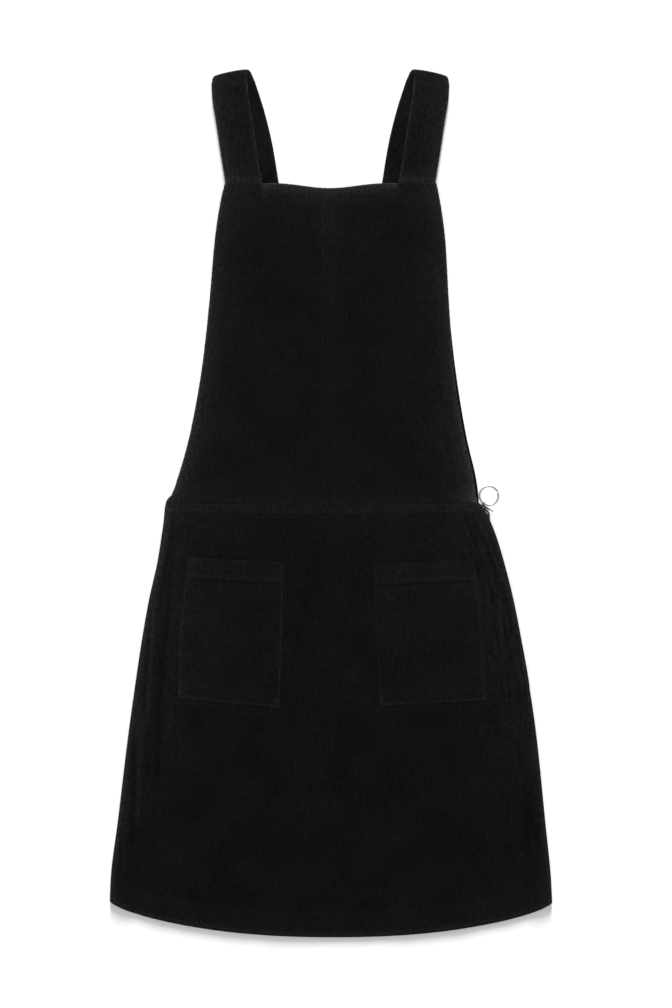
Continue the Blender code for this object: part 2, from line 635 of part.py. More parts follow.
def build_slider(frame):
    """Slider: two plates joined by a neck, with an eye standing out of the outer plate."""
    middle = (SLIDER_LOW + SLIDER_HIGH) / 2
    low, high = SLIDER_LOW, SLIDER_HIGH
    made = box_object("zip_slider", (0, -PLATE, low), (SLIDER_LONG, 0, high), frame, 0.3 * MM)
    inner_low = (0.2 * MM, -SLIDER_DEEP, low + 0.2 * MM)
    inner_high = (SLIDER_INNER_LONG, PLATE - SLIDER_DEEP, high - 0.2 * MM)
    inner = box_object("inner_plate", inner_low, inner_high, frame, 0.3 * MM)
    neck_low = (NECK_FROM, 0.5 * PLATE - SLIDER_DEEP, middle - NECK_HIGH / 2)
    neck_high = (NECK_TO, -0.5 * PLATE, middle + NECK_HIGH / 2)
    neck = box_object("neck", neck_low, neck_high, frame)
    eye = drum_object("eye", EYE_OUTER, EYE_THICK, (EYE_ALONG, EYE_OUT, middle), frame)
    hole = drum_object("eye_hole", EYE_HOLE, 2 * EYE_THICK, (EYE_ALONG, EYE_OUT, middle), frame)
    for other in (neck, inner, eye):
        combine(made, other, "UNION")
    combine(made, hole, "DIFFERENCE")
    return finish(made, "slider_metal")


def build_ring(frame):
    """Pull ring through the eye, lying over towards the surface."""
    middle = (SLIDER_LOW + SLIDER_HIGH) / 2
    drop = middle - RING_WIRE - RING_CLEAR
    swing = bpy.data.objects.new("ring_axis", None)
    bpy.context.scene.collection.objects.link(swing)
    swing.parent = frame
    swing.location = (EYE_ALONG, EYE_OUT, middle)
    swing.rotation_euler = (-math.asin(drop / (2 * RING_RADIUS)), 0, 0)
    mesh = bmesh.new()
    around, about = 36, 8
    grid = []
    for i in range(around):
        u = 2 * math.pi * i / around
        loop = []
        for j in range(about):
            v = 2 * math.pi * j / about
            reach = RING_RADIUS + RING_WIRE * math.cos(v)
            place = (reach * math.sin(u), RING_RADIUS - reach * math.cos(u), RING_WIRE * math.sin(v))
            loop.append(mesh.verts.new(place))
        grid.append(loop)
    for i in range(around):
        for j in range(about):
            a, b = grid[i], grid[(i + 1) % around]
            k = (j + 1) % about
            mesh.faces.new((a[j], b[j], b[k], a[k]))
    bmesh.ops.recalc_face_normals(mesh, faces=mesh.faces)
    data = bpy.data.meshes.new("zip_ring")
    mesh.to_mesh(data)
    mesh.free()
    data.shade_smooth()
    return finish(new_object("zip_ring", data, swing), "ring_metal")


def build():
    """Removes what the scene holds and builds the dress."""
    for old in list(bpy.data.objects):
        bpy.data.objects.remove(old)
    cloth_wall("skirt_back", skirt_back_points(), "corduroy", facing_up=False)
    cloth_wall("skirt_front", skirt_front_points(), "corduroy")
    cloth_wall("bib_back", bib_back_points(), "corduroy", facing_up=False)
    cloth_wall("bib_front_left", bib_front_points("left"), "corduroy")
    cloth_wall("bib_front_right", bib_front_points("right"), "corduroy")
    cloth_wall("strap_left", strap_points(False), "corduroy", BAND)
    cloth_wall("strap_right", strap_points(True), "corduroy", BAND)
    for pocket in POCKETS:
        cloth_wall(pocket.name, pocket_points(pocket), "corduroy")
    cloth_wall("zip_tape_front", tape_points(True), "zip_tape", TAPE)
    cloth_wall("zip_tape_back", tape_points(False), "zip_tape", TAPE)
    prism_along("zip_chain", chain_route(), CHAIN_THICK / 2, CHAIN_LOW, CHAIN_HIGH, "zip_metal")
    frame = bpy.data.objects.new("zip_frame", None)
    bpy.context.scene.collection.objects.link(frame)
    frame.location = (SLIDER_CORNER[0], SLIDER_CORNER[1], 0)
    frame.rotation_euler = (0, 0, ZIP_HEADING)
    build_slider(frame)
    build_ring(frame)


build()
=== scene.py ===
"""Black corduroy pinafore dress, laid flat: its cloth, stitching, zip and light.

Every panel is a wall of cloth worked out with numpy from the sizes below, in metres, in the frame's own
axes: +Y towards the straps, +Z out of the front, z = 0 on the surface that the dress lies on.
"""
import logging
import math
from dataclasses import dataclass, field
from enum import Enum
from typing import NamedTuple

import bpy
import numpy as np
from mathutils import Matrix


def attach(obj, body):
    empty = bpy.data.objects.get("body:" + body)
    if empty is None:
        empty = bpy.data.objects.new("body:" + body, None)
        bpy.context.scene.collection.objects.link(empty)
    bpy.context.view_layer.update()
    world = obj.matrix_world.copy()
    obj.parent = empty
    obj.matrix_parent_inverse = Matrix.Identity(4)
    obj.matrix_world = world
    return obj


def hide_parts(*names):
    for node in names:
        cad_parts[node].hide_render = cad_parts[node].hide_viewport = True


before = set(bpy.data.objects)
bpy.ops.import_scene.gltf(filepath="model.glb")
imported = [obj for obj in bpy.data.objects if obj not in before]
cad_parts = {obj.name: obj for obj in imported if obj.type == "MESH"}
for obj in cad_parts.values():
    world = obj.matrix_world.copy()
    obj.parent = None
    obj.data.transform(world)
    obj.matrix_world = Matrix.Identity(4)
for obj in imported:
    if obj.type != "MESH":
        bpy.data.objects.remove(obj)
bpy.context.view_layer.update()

log = logging.getLogger("pinafore")
Array = np.ndarray
Arrays = tuple[Array, Array]
Pair = tuple[float, float]
Triple = tuple[float, float, float]
Quad = tuple[float, float, float, float]
Thing = bpy.types.Object
Material = bpy.types.Material
Socket = bpy.types.NodeSocket

MM = 0.001
DRESS = "dress"
RING = "ring"


def rows_of(kind: type, *rows: tuple) -> tuple:
    """A table whose rows are all of one kind."""
    return tuple(kind(*row) for row in rows)


# ---- Sizes shared by the panels ----


class OutlineRow(NamedTuple):
    """Half of an outline at one height, in millimetres."""

    y: float
    left: float
    right: float
    back_right: float


class EdgeRow(NamedTuple):
    """How a side of the skirt stands at one height, in millimetres; roll is a share."""

    y: float
    hump: float
    crest: float
    foot: float
    roll: float
    front: float
    back: float


class Crease(NamedTuple):
    """A soft trough or ridge from y_from down to y_to, in millimetres."""

    y_from: float
    y_to: float
    x_from: float
    x_mid: float
    x_to: float
    half: float
    height: float


class Swell(NamedTuple):
    """A slow wave of loosely lying cloth, in millimetres and radians."""

    along_x: float
    along_y: float
    phase: float
    height: float


class ChainRow(NamedTuple):
    """How far the zip's teeth lie in from the side seam at one height, in millimetres."""

    y: float
    inset: float


class StrapRow(NamedTuple):
    """A point of a strap's centre line in millimetres, and its tilt in degrees."""

    y: float
    x: float
    tilt: float


BIB_OUTLINE = rows_of(
    OutlineRow,
    (0, -173.4, 153.4, 155.2), (4.5, -171.7, 152.5, 155.1), (8, -167.7, 151.9, 154.8),
    (24, -161.7, 149.8, 152.7), (66, -149.6, 140.4, 143), (108, -141, 132.9, 135.5),
    (150, -134.4, 127.9, 129.5), (213, -127.5, 123.6, 123), (276, -121.9, 119.9, 118.4),
    (320, -115.1, 113.8, 112.6), (335.5, -111.3, 110.6, 109.4),
)
SKIRT_OUTLINE = rows_of(
    OutlineRow,
    (0, -173.4, 156.4, 152.4), (-5, -174.5, 159, 153.4), (-8, -174.8, 161.6, 157.2),
    (-12.5, -175.3, 164.7, 164), (-18, -175.8, 166.5, 166.5), (-28, -177.1, 170.9, 170.9),
    (-60, -181.9, 181, 181), (-101.6, -191.1, 191.5, 191.5), (-143.6, -198.5, 199.8, 199.8),
    (-185.6, -204.8, 207.4, 207.4), (-248, -213.4, 216.2, 216.2), (-332, -223.5, 224.8, 224.8),
    (-396, -231.3, 231.1, 231.1), (-418.9, -232.2, 232.2, 232.2),
)
LEFT_EDGE = rows_of(
    EdgeRow,
    (0, 0, 6, 16, 0, 3.8, 0.05), (-25, 3, 6, 14, 0.6, 4.8, 2), (-42, 4.2, 6, 13, 0.9, 4.65, 2.6),
    (-60, 4.6, 6, 13, 1, 4.05, 3.35), (-101, 4.7, 7, 16, 1, 4.05, 3.35),
    (-143, 4.6, 11, 21, 1, 4.05, 3.35), (-230, 4.4, 17, 28, 1, 4.05, 3.35),
    (-330, 3.8, 16, 30, 1, 4.05, 3.35), (-418.9, 2.6, 10, 30, 1, 4.05, 3.35),
)
RIGHT_EDGE = rows_of(
    EdgeRow,
    (0, 0, 8, 34, 0, 9.7, 0.05), (-14, 6.1, 8, 34, 0, 9.8, 0.05), (-186, 6.1, 8, 36, 0, 9.8, 0.05),
    (-203, 5.2, 8, 36, 0.6, 5.4, 2), (-216, 4.7, 8, 35, 0.9, 4.65, 2.6),
    (-232, 4.4, 8, 34, 1, 4.05, 3.35), (-330, 4.2, 8, 34, 1, 4.05, 3.35),
    (-418.9, 2.6, 8, 30, 1, 4.05, 3.35),
)
CREASES = rows_of(
    Crease,
    # the largest, which the construction has too
    (-50, -250, -164, -166, -170, 7, 0.9), (-232, -372, -206, -206.8, -209.2, 4, -2),
    (-215, -385, -199, -200, -203, 6, 1.1), (-30, -105, 164, 169, 176, 5, -1.4),
    (-95, -190, 182, 185, 189, 5.5, -1.6), (-190, -300, 188, 194, 197, 7, 1.3),
    (-300, -405, 205, 209, 213, 7, -1.2),
    # left side: the edge of the puff, the trough at its foot and what runs beside them
    (-78, -240, -183.3, -188.3, -192.5, 2.2, 1.3), (-100, -215, -187, -191.5, -196.5, 1.8, -0.9),
    (-6, -190, -165.3, -168.5, -179.8, 2.6, -1.1), (-120, -330, -174.5, -181.5, -184.5, 3, -1.5),
    (-185, -228, -196, -197, -196.5, 1.8, -0.9), (-14, -38, -166.5, -164, -162, 2.2, -0.7),
    (-5, -22, -162, -160.5, -160, 2.5, 0.6), (-205, -255, -165.5, -167, -174.5, 2.6, 0.6),
    (-228, -272, -165, -158, -151, 2.6, 0.5), (-250, -345, -201, -202, -203.5, 2.2, 0.6),
    (-340, -412, -219, -221, -223, 3, -0.7),
    # right side: short puckers from the zip
    (-24, -66, 159, 167.5, 172.5, 2.4, 0.9), (-40, -64, 155.5, 158, 161, 2.4, 0.6),
    (-60, -82, 150, 153, 157, 2.6, -0.8), (-76, -92, 166.5, 168, 169, 2, 0.6),
    (-86, -112, 169, 170.5, 171, 2.4, -0.8), (-80, -122, 179, 181.5, 184, 3.2, -1),
    (-90, -170, 176.5, 178.5, 179.5, 2.4, 1), (-136, -166, 192, 188, 183.5, 2.4, 0.7),
    (-148, -168, 160, 167, 174, 2.8, -0.7), (-118, -192, 194.5, 196, 200, 2.6, -0.8),
    (-206, -240, 179, 179.5, 181, 2.6, 0.8), (-228, -250, 180, 189, 200, 2.6, 0.7),
    (-240, -285, 195, 196.5, 199, 3, -0.8), (-246, -290, 210.5, 212, 214, 2.4, 0.7),
    (-336, -368, 214, 216, 219, 2.4, -0.8), (-340, -375, 209, 211, 214, 2.4, 0.7),
)
SWELLS = rows_of(
    Swell,
    (210, 330, 0.4, 0.22), (137, 245, 2.1, 0.16), (410, 150, 4, 0.14),
)
RIPPLES = rows_of(
    Swell,
    # finer unevenness of cloth that has been worn and laid down by hand
    (61, 88, 0.9, 0.10), (-47, 103, 2.8, 0.08), (33, -71, 4.4, 0.06), (-24, 39, 1.7, 0.045),
    (19, 27, 5.2, 0.035),
)
CHAIN_ROUTE = rows_of(
    ChainRow,
    (-18, 0.6), (-26, 0.9), (-40, 1.6), (-60, 2.1), (-182, 2.1),
)
STRAP_FRONT = rows_of(
    StrapRow,
    (315.2, -88.2, 9), (337.3, -91.7, 9), (371, -97.1, 8.5), (402.4, -101.8, 7), (428, -105.8, 6),
    (441, -106.7, 8),
)
STRAP_BACK = rows_of(
    StrapRow,
    (437, -98, 17), (408.3, -88.8, 15.5), (374.6, -80.5, 11.5), (333.2, -73.6, 9.5), (311.4, -70.4, 0),
)


class PaintedLight(NamedTuple):
    """Painted light along an edge, in millimetres: colour made lighter for sheen, highlights and places
    lifted out of shade, or darker for painted shade, with some wear of the nap.

    share is its strength, at its way in from the edge and reach its width. power is 2 for a bell, 1 for a
    plain fall and 0 for a smooth step from at to reach. Where span is given, it grows from the first of
    those heights to the second.
    """

    edge: str
    share: float
    at: float
    reach: float
    power: int = 2
    span: Pair | None = None


# Painted light on the rolled sides of the skirt: sheen fading in from each edge, with a light line 2.4 mm
# in.
EDGE_LIGHT = ((0.13, 0, 7, 1), (0.02, 0, 60), (0.04, 0, 60, 2, (-330, -180)), (0.12, 2.4, 1.4))
# Painted light on the skirt front: sheen and highlights on both rolled sides, a highlight at the hem's rim
# and over its turning, a lift where the waist band's edge is shaded, and the upper skirt a little lighter.
SKIRT_LIGHT = rows_of(
    PaintedLight,
    ("left", 0.04, 0, 9), ("left", 0.07, 0, 9, 2, (-125, -60)), ("left", 0.04, 0, 26, 2, (-390, -330)),
    ("right", 0.045, 18, 17, 2, (-250, -110)),
    *((edge, *rub) for edge in ("left", "right") for rub in EDGE_LIGHT),
    ("hem", 0.14, 3.4, 1.2), ("hem", 0.05, 0, 9, 1), ("waist", 0.03, 0, 3.5), ("waist", 0.014, 0, 14, 1),
    ("hem", 0.018, 25, 17, 0), ("y", 0.018, -300, -10, 0),
)
# Painted light on each half of the bib: sheen on its free side and top, a lift where the waist seam shades
# it, and a little lighter along the centre seam.
BIB_LIGHT = rows_of(
    PaintedLight,
    ("side", 0.12, 0, 6, 1), ("side", 0.10, 0, 6, 1, (150, 20)), ("side", 0.06, 4, 2.4),
    ("side", 0.05, 4, 2.4, 2, (150, 20)), ("side", 0.04, 9, 5), ("side", 0.06, 0, 32),
    ("side", 0.02, 0, 32, 2, (150, 20)), ("top", 0.03, 0, 9, 1), ("top", 0.03, 0, 80),
    ("waist", 0.05, 0, 3, 1), ("waist", 0.022, 0, 22), ("seam", 0.008, 0, 12),
    ("seam", 0.018, 0, 12, 2, (150, 320)),
)
# Strength of the pucker ticks along the bib's free side and over the centre seam's allowance; the material
# bumps them and paints them lighter, a painted highlight on their crests.
BIB_TICKS = rows_of(
    PaintedLight,
    ("side", 0.30, 5.4, 4.4, 0), ("side", 0.22, 5.4, 4.4, 0, (150, 20)),
    ("seam_fold", 0.10, -0.4, -1.2, 0), ("seam_fold", 0.14, -0.4, -1.2, 0, (150, 320)),
)
# Painted highlight on the bib's top edge between the straps, and painted shade on that edge over the
# straps, which dulls the rim that the key light brightens.
BETWEEN_STRAPS = rows_of(PaintedLight, ("top", 0.50, 0, 4.5, 1), ("top", 0.05, 0, 14))
UNDER_STRAPS = rows_of(PaintedLight, ("top", -0.08, 0, 2.5, 1))
# Painted light on the straps: lifts around the bar tack and just above the bib's edge, where the bib
# shades the strap, a lighter inner edge, and lighter towards the fold.
STRAP_LIGHT = rows_of(
    PaintedLight,
    ("bar", 0.04, 0, 9), ("bar", 0.10, 0, 2.2), ("bar", 0.07, -3.6, 2.6), ("inner", 0.05, 0, 2.5, 1),
    ("fold", 0.05, -26, 0, 0),
)
# Pucker ticks along the strap's stitched edges, which the material bumps and paints lighter: a painted
# highlight on their crests.
STRAP_TICKS = rows_of(PaintedLight, ("edge", 0.45, 3.4, 2.6, 0))
# Painted light on the pockets: a lift over the lower part, which slopes down to the foot and falls in
# shade, and painted shade along the foot and the mouth.
POCKET_LIGHT = rows_of(
    PaintedLight,
    ("foot", 0.025, 0, 9, 1), ("foot", -0.01, 0, 1.5, 1), ("mouth", -0.04, 0, 1.5, 1),
    ("foot", 0.047, 20, 5, 0),
)
# Pucker ticks along the pockets' foot, hem and sides, which the material bumps and paints lighter: a
# painted highlight on their crests.
POCKET_BAND = rows_of(PaintedLight, ("foot", 0.3, 3.4, 1.8, 0), ("hem", 0.35, 3.2, 2, 0))
POCKET_LADDER = rows_of(PaintedLight, ("side", 0.2, 3.4, 1.8, 0))


class Side(Enum):
    """The two sides of the dress as it lies, seen from above."""

    LEFT = "left"
    RIGHT = "right"

    @property
    def inward(self) -> float:
        """Which way along x the middle lies."""
        return 1 if self is Side.LEFT else -1


def smooth(low: float, high: float, value: Array) -> Array:
    """Smooth step: 0 at low, 1 at high and t t (3 - 2 t) between. It falls where low is the greater."""
    t = np.clip((value - low) / (high - low), 0, 1)
    return t * t * (3 - 2 * t)


def mm(*sizes: float) -> tuple[float, ...]:
    """Sizes in millimetres as metres."""
    return tuple(size * MM for size in sizes)


def window(rise: Pair, fall: Pair, value: Array) -> Array:
    """1 between two smooth steps, up over the first pair of limits and down over the second."""
    return smooth(*rise, value) * (1 - smooth(*fall, value))


def bell(way: Array, reach: float) -> Array:
    """A bell: e to minus the square of way over reach."""
    return np.exp(-((way / reach) ** 2))


def decay(way: Array, reach: float) -> Array:
    """A plain fall: e to minus way over reach."""
    return np.exp(-way / reach)


def painted_light_and_wear(table: tuple[PaintedLight, ...], ways: dict[str, Array], y: Array) -> Array:
    """Sum of the painted light rows: each its share times e to minus a power of the way over the reach, or
    a step.

    Args:
        table, ways: the painted light rows, and the way in from each edge that they name.
        y: heights of the places.

    Returns:
        The share of painted light, lighter above zero and darker below, with some wear of the nap.
    """
    total = np.zeros(np.shape(y))
    for rub in table:
        way, at, reach = ways[rub.edge], rub.at * MM, rub.reach * MM
        fall = np.exp(-(((way - at) / reach) ** rub.power)) if rub.power else smooth(at, reach, way)
        grown = 1 if rub.span is None else smooth(rub.span[0] * MM, rub.span[1] * MM, y)
        total = total + rub.share * grown * fall
    return total


def points_at(x: Array, y: Array, z: Array) -> Array:
    """Points from their three coordinates."""
    return np.stack([x, y, z], axis=-1)


def curve(knots: Array, values: Array, at: Array) -> Array:
    """Monotone cubic through the knots, which never overshoots between them.

    Args:
        knots, values: where the values are given, in any order, and the values.
        at: where the curve is wanted; it stays level past the ends.

    Returns:
        The curve's value at each point of at.
    """
    order = np.argsort(knots)
    k = np.asarray(knots, float)[order]
    v = np.asarray(values, float)[order]
    step = np.diff(k)
    slope = np.diff(v) / step
    tangent = np.zeros_like(v)
    same = slope[:-1] * slope[1:] > 0
    weight_a = 2 * step[1:] + step[:-1]
    weight_b = step[1:] + 2 * step[:-1]
    low = np.where(same, slope[:-1], 1)
    high = np.where(same, slope[1:], 1)
    mean = (weight_a + weight_b) / (weight_a / low + weight_b / high)
    tangent[1:-1] = np.where(same, mean, 0)
    tangent[0] = slope[0]
    tangent[-1] = slope[-1]
    x = np.clip(at, k[0], k[-1])
    i = np.clip(np.searchsorted(k, x, side="right") - 1, 0, len(k) - 2)
    t = (x - k[i]) / step[i]
    start = (1 + 2 * t) * (1 - t) ** 2 * v[i] + t * (1 - t) ** 2 * step[i] * tangent[i]
    end = t * t * (3 - 2 * t) * v[i + 1] + t * t * (t - 1) * step[i] * tangent[i + 1]
    return start + end


def column(table: tuple, name: str, y: Array, unit: float = MM) -> Array:
    """A column of a table at the heights y. unit turns its numbers into metres, or is 1 for a share."""
    heights = np.array([row.y for row in table]) * MM
    values = np.array([getattr(row, name) for row in table]) * unit
    return curve(heights, values, y)


def waves(table: tuple[Swell, ...], x: Array, y: Array) -> Array:
    """Sum of slow waves: height times the sine of the way along each."""
    total = np.zeros(np.broadcast(x, y).shape)
    for s in table:
        turn = 2 * np.pi * (x / MM / s.along_x + y / MM / s.along_y) + s.phase
        total += s.height * MM * np.sin(turn)
    return total


def wander(along: Array, pitch: float, seed: float) -> Array:
    """An uneven wave between about -1 and 1: three sines whose lengths don't repeat together."""
    turn = 2 * np.pi * along / pitch + seed
    return 0.5 * np.sin(turn) + 0.3 * np.sin(1.618 * turn + 1.3) + 0.2 * np.sin(0.437 * turn + 2.9 + seed)


def rim_steps(radius: float, count: int = 5) -> Array:
    """Insets over a rounded rim: radius times one minus the cosine of an even turn."""
    return radius * (1 - np.cos(np.linspace(0, math.pi / 2, count)))


def run(start: float, stop: float, step: float) -> Array:
    """Even places from start to stop, no further apart than step, without start."""
    count = max(math.ceil(abs(stop - start) / step), 1)
    return np.linspace(start, stop, count + 1)[1:]


def rim_run(radius: float, stop: float, step: float, count: int = 5) -> Array:
    """Insets over a rounded rim, then even ones as far as stop."""
    return np.concatenate([rim_steps(radius, count), run(radius, stop, step)])


def rows_between(start: float, stop: float, rims: Pair, *stretches: Pair) -> Array:
    """Places from start to stop, close together over the rounded rims at both.

    Args:
        start, stop: the two ends.
        rims, stretches: radii of the rims, and the end and step of each stretch between them.

    Returns:
        The places.
    """
    parts = [start + rim_steps(rims[0], 4)]
    for end, step in stretches:
        parts.append(run(parts[-1][-1], end, step))
    parts.append(stop - rim_steps(rims[1])[:-1][::-1])
    return np.concatenate(parts)


def spanned(left: Array, right: Array, count: int) -> Array:
    """The columns of two side parts, with count even ones between them."""
    t = np.linspace(0, 1, count + 2)[1:-1]
    return np.hstack([left, left[:, -1:] * (1 - t) + right[:, :1] * t, right])


def share_across(x: Array, left: Array, right: Array) -> Array:
    """The way across each row, from -1 at its left end to 1 at its right."""
    return 2 * (x - left[:, None]) / (right - left)[:, None] - 1


Edge = tuple[EdgeRow, ...]


@dataclass(frozen=True)
class DressForm:
    """The form that all the panels share: outlines, seams and the height of the front."""

    cloth: float = 1.5 * MM
    lay: float = 0.5 * MM
    press: float = 0.12 * MM
    level: float = 3.9 * MM
    centre_x: float = -1.6 * MM
    # rims of the panels
    seam_rim: float = 0.7 * MM
    hem_rim: float = 1.1 * MM
    rim_drawn: float = 0.30 * MM
    flat_lip: float = 10 * MM
    roll_shape: float = 1.25
    roll_power: float = 1.2
    # creases and puckers
    crease_share: float = 0.85
    crease_narrow: float = 0.8
    crease_fine: float = 2.4
    ripple_in: float = 12 * MM
    pucker_height: float = 0.46 * MM
    pucker_pitch: float = 8.6 * MM
    pucker_sway: Pair = mm(2.2, 17)
    pucker_broken: Pair = mm(9, 6)
    pucker_in: Pair = mm(3, 9)
    pucker_out: Pair = mm(24, 46)
    pucker_below: Pair = mm(8, 28)
    pucker_foot: Pair = mm(190, 230)
    # waist seam
    seam_rise: float = 0.5 * MM
    waist_band: float = 9.6 * MM
    waist_fall: Pair = mm(9, 12.2)
    waist_share: float = 0.5
    waist_rows: Pair = mm(1.6, 8.8)
    waist_groove: float = 0.10 * MM
    waist_sag: float = 1.5 * MM
    # hem
    hem_band: float = 25.8 * MM
    hem_fall: Pair = mm(25.4, 28.2)
    hem_share: float = 0.8
    hem_narrow: float = 3.4 * MM
    hem_rows: Pair = mm(22.1, 24.9)
    hem_groove: float = 0.14 * MM
    groove_reach: float = 0.8 * MM
    hem_corner: float = 418.9 * MM
    hem_centre: float = 455.4 * MM
    hem_bow: Quad = (0.85, 2.3, 0.15, 14)
    hem_skew: float = 0.7 * MM
    # bib and straps
    bib_top: float = 335.5 * MM
    bib_dip: float = 4.8 * MM
    back_top: float = 311 * MM
    strap_mirror: float = -0.65 * MM
    rest_top: float = 7 * MM
    rest_across: Pair = mm(-66, -40)
    rest_along: Pair = mm(236, 316)
    # swelling over the slider
    swell_place: Pair = mm(158, -1)
    swell_reach: Pair = mm(14, 6)
    swell_height: float = 6 * MM

    def hem_y(self, share: Array) -> Array:
        """y of the hem, where share runs from -1 at the left corner to 1 at the right."""
        a, p, b, q = self.hem_bow
        rise = a * np.abs(share) ** p + b * np.abs(share) ** q
        return -self.hem_centre + (self.hem_centre - self.hem_corner) * rise - self.hem_skew * share

    def waist_y(self, share: Array) -> Array:
        """y of the waist seam: a shallow parabola between its corners."""
        return -self.waist_sag * (1 - share * share)

    def bib_top_y(self, share: Array) -> Array:
        """y of the bib's top edge, which dips by a cosine in its middle half."""
        dip = np.where(np.abs(share) < 0.5, np.cos(np.pi * share) ** 2, 0)
        return self.bib_top - self.bib_dip * dip

    def skirt_y(self, y_edge: Array, share: Array) -> Array:
        """y on the skirt, which turns evenly from the waist seam's line into the hem's."""
        down = (y_edge / -self.hem_corner)[:, None]
        return (self.waist_y(share) + self.press / 2) * (1 - down) + down * self.hem_y(share)

    def bib_y(self, rise: Array, share: Array, top: Array) -> Array:
        """y on a bib panel, which turns from the waist seam's line into its top's as rise grows."""
        return (self.waist_y(share) - self.press / 2) * (1 - rise) + rise * top

    def bib_rise(self, y_edge: Array, high: float) -> Array:
        """The share of a bib panel's height that each row has reached."""
        low = -self.press / 2
        return ((y_edge - low) / (high - low))[:, None]

    def swell_room(self) -> float:
        """The most that the slow waves can lower the front."""
        return sum(s.height for s in SWELLS) * MM

    def strap_rest(self, x: Array, y: Array) -> Array:
        """How far the bib is raised over the ends of the straps."""
        side = self.strap_mirror - np.abs(x - self.strap_mirror)
        across = 1 - smooth(*self.rest_across, side)
        height = self.rest_top - self.level + self.swell_room()
        return height * across * smooth(*self.rest_along, y)

    def front_level(self, x: Array, y: Array) -> Array:
        """Top of the front panels away from the skirt's sides, lifted over the slider by a bell."""
        (x_mid, y_mid), (below, above) = self.swell_place, self.swell_reach
        across, along = (x - x_mid) / below, (y - y_mid) / np.where(y > y_mid, above, below)
        bump = self.swell_height * np.exp(-(across**2 + along**2) / 2)
        return self.level + waves(SWELLS, x, y) + self.strap_rest(x, y) + bump

    def side_hump(self, table: Edge, inset: Array, y: Array) -> Array:
        """The puffed side of the skirt: full up to its crest, then a half cosine down to its foot."""
        crest = column(table, "crest", y)
        foot = column(table, "foot", y)
        t = np.clip((inset - crest) / (foot - crest), 0, 1)
        return column(table, "hump", y) * 0.5 * (1 + np.cos(np.pi * t))

    def crease_sum(self, x: Array, y: Array, sharp: float = 0) -> Array:
        """Sum of the creases: each a bell across its line, fading along it by a sine.

        Args:
            x, y, sharp: the place, and the power by which broad creases count for less.

        Returns:
            The rise, below zero in a trough.
        """
        total = np.zeros_like(x)
        for c in CREASES:
            along = np.clip((y / MM - c.y_from) / (c.y_to - c.y_from), 0, 1)
            line = (1 - along) ** 2 * c.x_from + 2 * along * (1 - along) * c.x_mid + along**2 * c.x_to
            weight = min(1, self.crease_fine / c.half) ** sharp * c.height * MM
            across = bell(x / MM - line, self.crease_narrow * c.half)
            total += weight * np.sin(np.pi * along) ** 0.8 * across
        return self.crease_share * total

    def zip_puckers(self, inset: Array, y: Array) -> Array:
        """Short upright puckers beside the zip: uneven waves across, broken up along the seam."""
        reach = window(self.pucker_in, self.pucker_out, inset)
        span = window(self.pucker_below, self.pucker_foot, -y)
        sway, sway_pitch = self.pucker_sway
        across = wander(inset + sway * np.sin(y / sway_pitch), self.pucker_pitch, 0.7)
        broken = 0.55 + 0.45 * np.sin(y / self.pucker_broken[0] + inset / self.pucker_broken[1] + 1.1)
        return self.pucker_height * across * broken * reach * span

    def skirt_level(self, x: Array, y: Array, left: Array, right: Array) -> Array:
        """Top of the skirt front inside its rolled edges.

        Args:
            x, y, left, right: the place, and how far it is in from the two sides.

        Returns:
            The height of the cloth's outer face.
        """
        plain = self.front_level(x, y) - self.level
        puff = self.side_hump(LEFT_EDGE, left, y) + self.side_hump(RIGHT_EDGE, right, y)
        raised = (np.clip(plain, 0, None) ** 4 + puff**4) ** 0.25 + np.clip(plain, None, 0)
        top = self.level + raised + self.crease_sum(x, y) + self.zip_puckers(right, y)
        top += waves(RIPPLES, x, y) * smooth(0, self.ripple_in, np.minimum(left, right))
        return np.maximum(top, self.level - self.swell_room())

    def skirt_sides(self, y: Array) -> Arrays:
        """The skirt front's two sides at the heights y."""
        return column(SKIRT_OUTLINE, "left", y), column(SKIRT_OUTLINE, "right", y)

    def skirt_top(self, x: Array, y: Array) -> Array:
        """Top of the skirt front well inside its rolled edges, with its seam bands."""
        left, right = self.skirt_sides(y)
        z = self.skirt_level(x, y, x - left, right - x)
        share = 2 * (x - left) / (right - left) - 1
        return z + self.skirt_bands(y - self.waist_y(share), y - self.hem_y(share), share)

    def skirt_bands(self, from_waist: Array, from_hem: Array, share: Array) -> Array:
        """Rise of the waist seam's allowance and of the hem's turning, with a groove at each stitch row.

        Args:
            from_waist, from_hem: how far above the waist seam and the hem the place is.
            share: the way across, from -1 to 1, by whose square the hem's turning narrows.

        Returns:
            The rise.
        """
        in_hem = from_hem + self.hem_narrow * share**2
        waist, hem = 1 - smooth(*self.waist_fall, -from_waist), 1 - smooth(*self.hem_fall, in_hem)
        rise = self.seam_rise * (self.waist_share * waist + self.hem_share * hem)
        for inset in self.waist_rows:
            rise = rise - self.waist_groove * bell(from_waist + inset, self.groove_reach)
        for inset in self.hem_rows:
            rise = rise - self.hem_groove * bell(in_hem - inset, self.groove_reach)
        return rise

    def rim_height(self, table: Edge, name: str, y: Array) -> Array:
        """Height of a panel's rim at a side seam, where a fully rolled pair is drawn together."""
        drawn = self.rim_drawn * column(table, "roll", y, 1.0)
        return column(table, name, y) + (drawn if name == "back" else -drawn)

    def roll_columns(self, table: Edge, y: Array, height: Array, steps: int) -> Arrays:
        """Columns over a rolled edge: insets by one minus a cosine, heights by a sine.

        Args:
            table, steps: the edge that rolls, and the columns over it.
            y, height: the rows' heights, and how far each falls over the roll.

        Returns:
            Insets of the columns, and the share of the height that each has reached.
        """
        roll = column(table, "roll", y, 1.0)[:, None]
        reach = roll * self.roll_shape * height[:, None] + (1 - roll) * self.flat_lip
        turn = np.linspace(0, 1, steps)[None, :] ** self.roll_power * np.pi / 2
        along = roll * (1 - np.cos(turn)) + (1 - roll) * turn * 2 / np.pi
        return reach * along, np.sin(turn) * np.ones_like(along)


FORM = DressForm()


# ---- Shader expressions ----


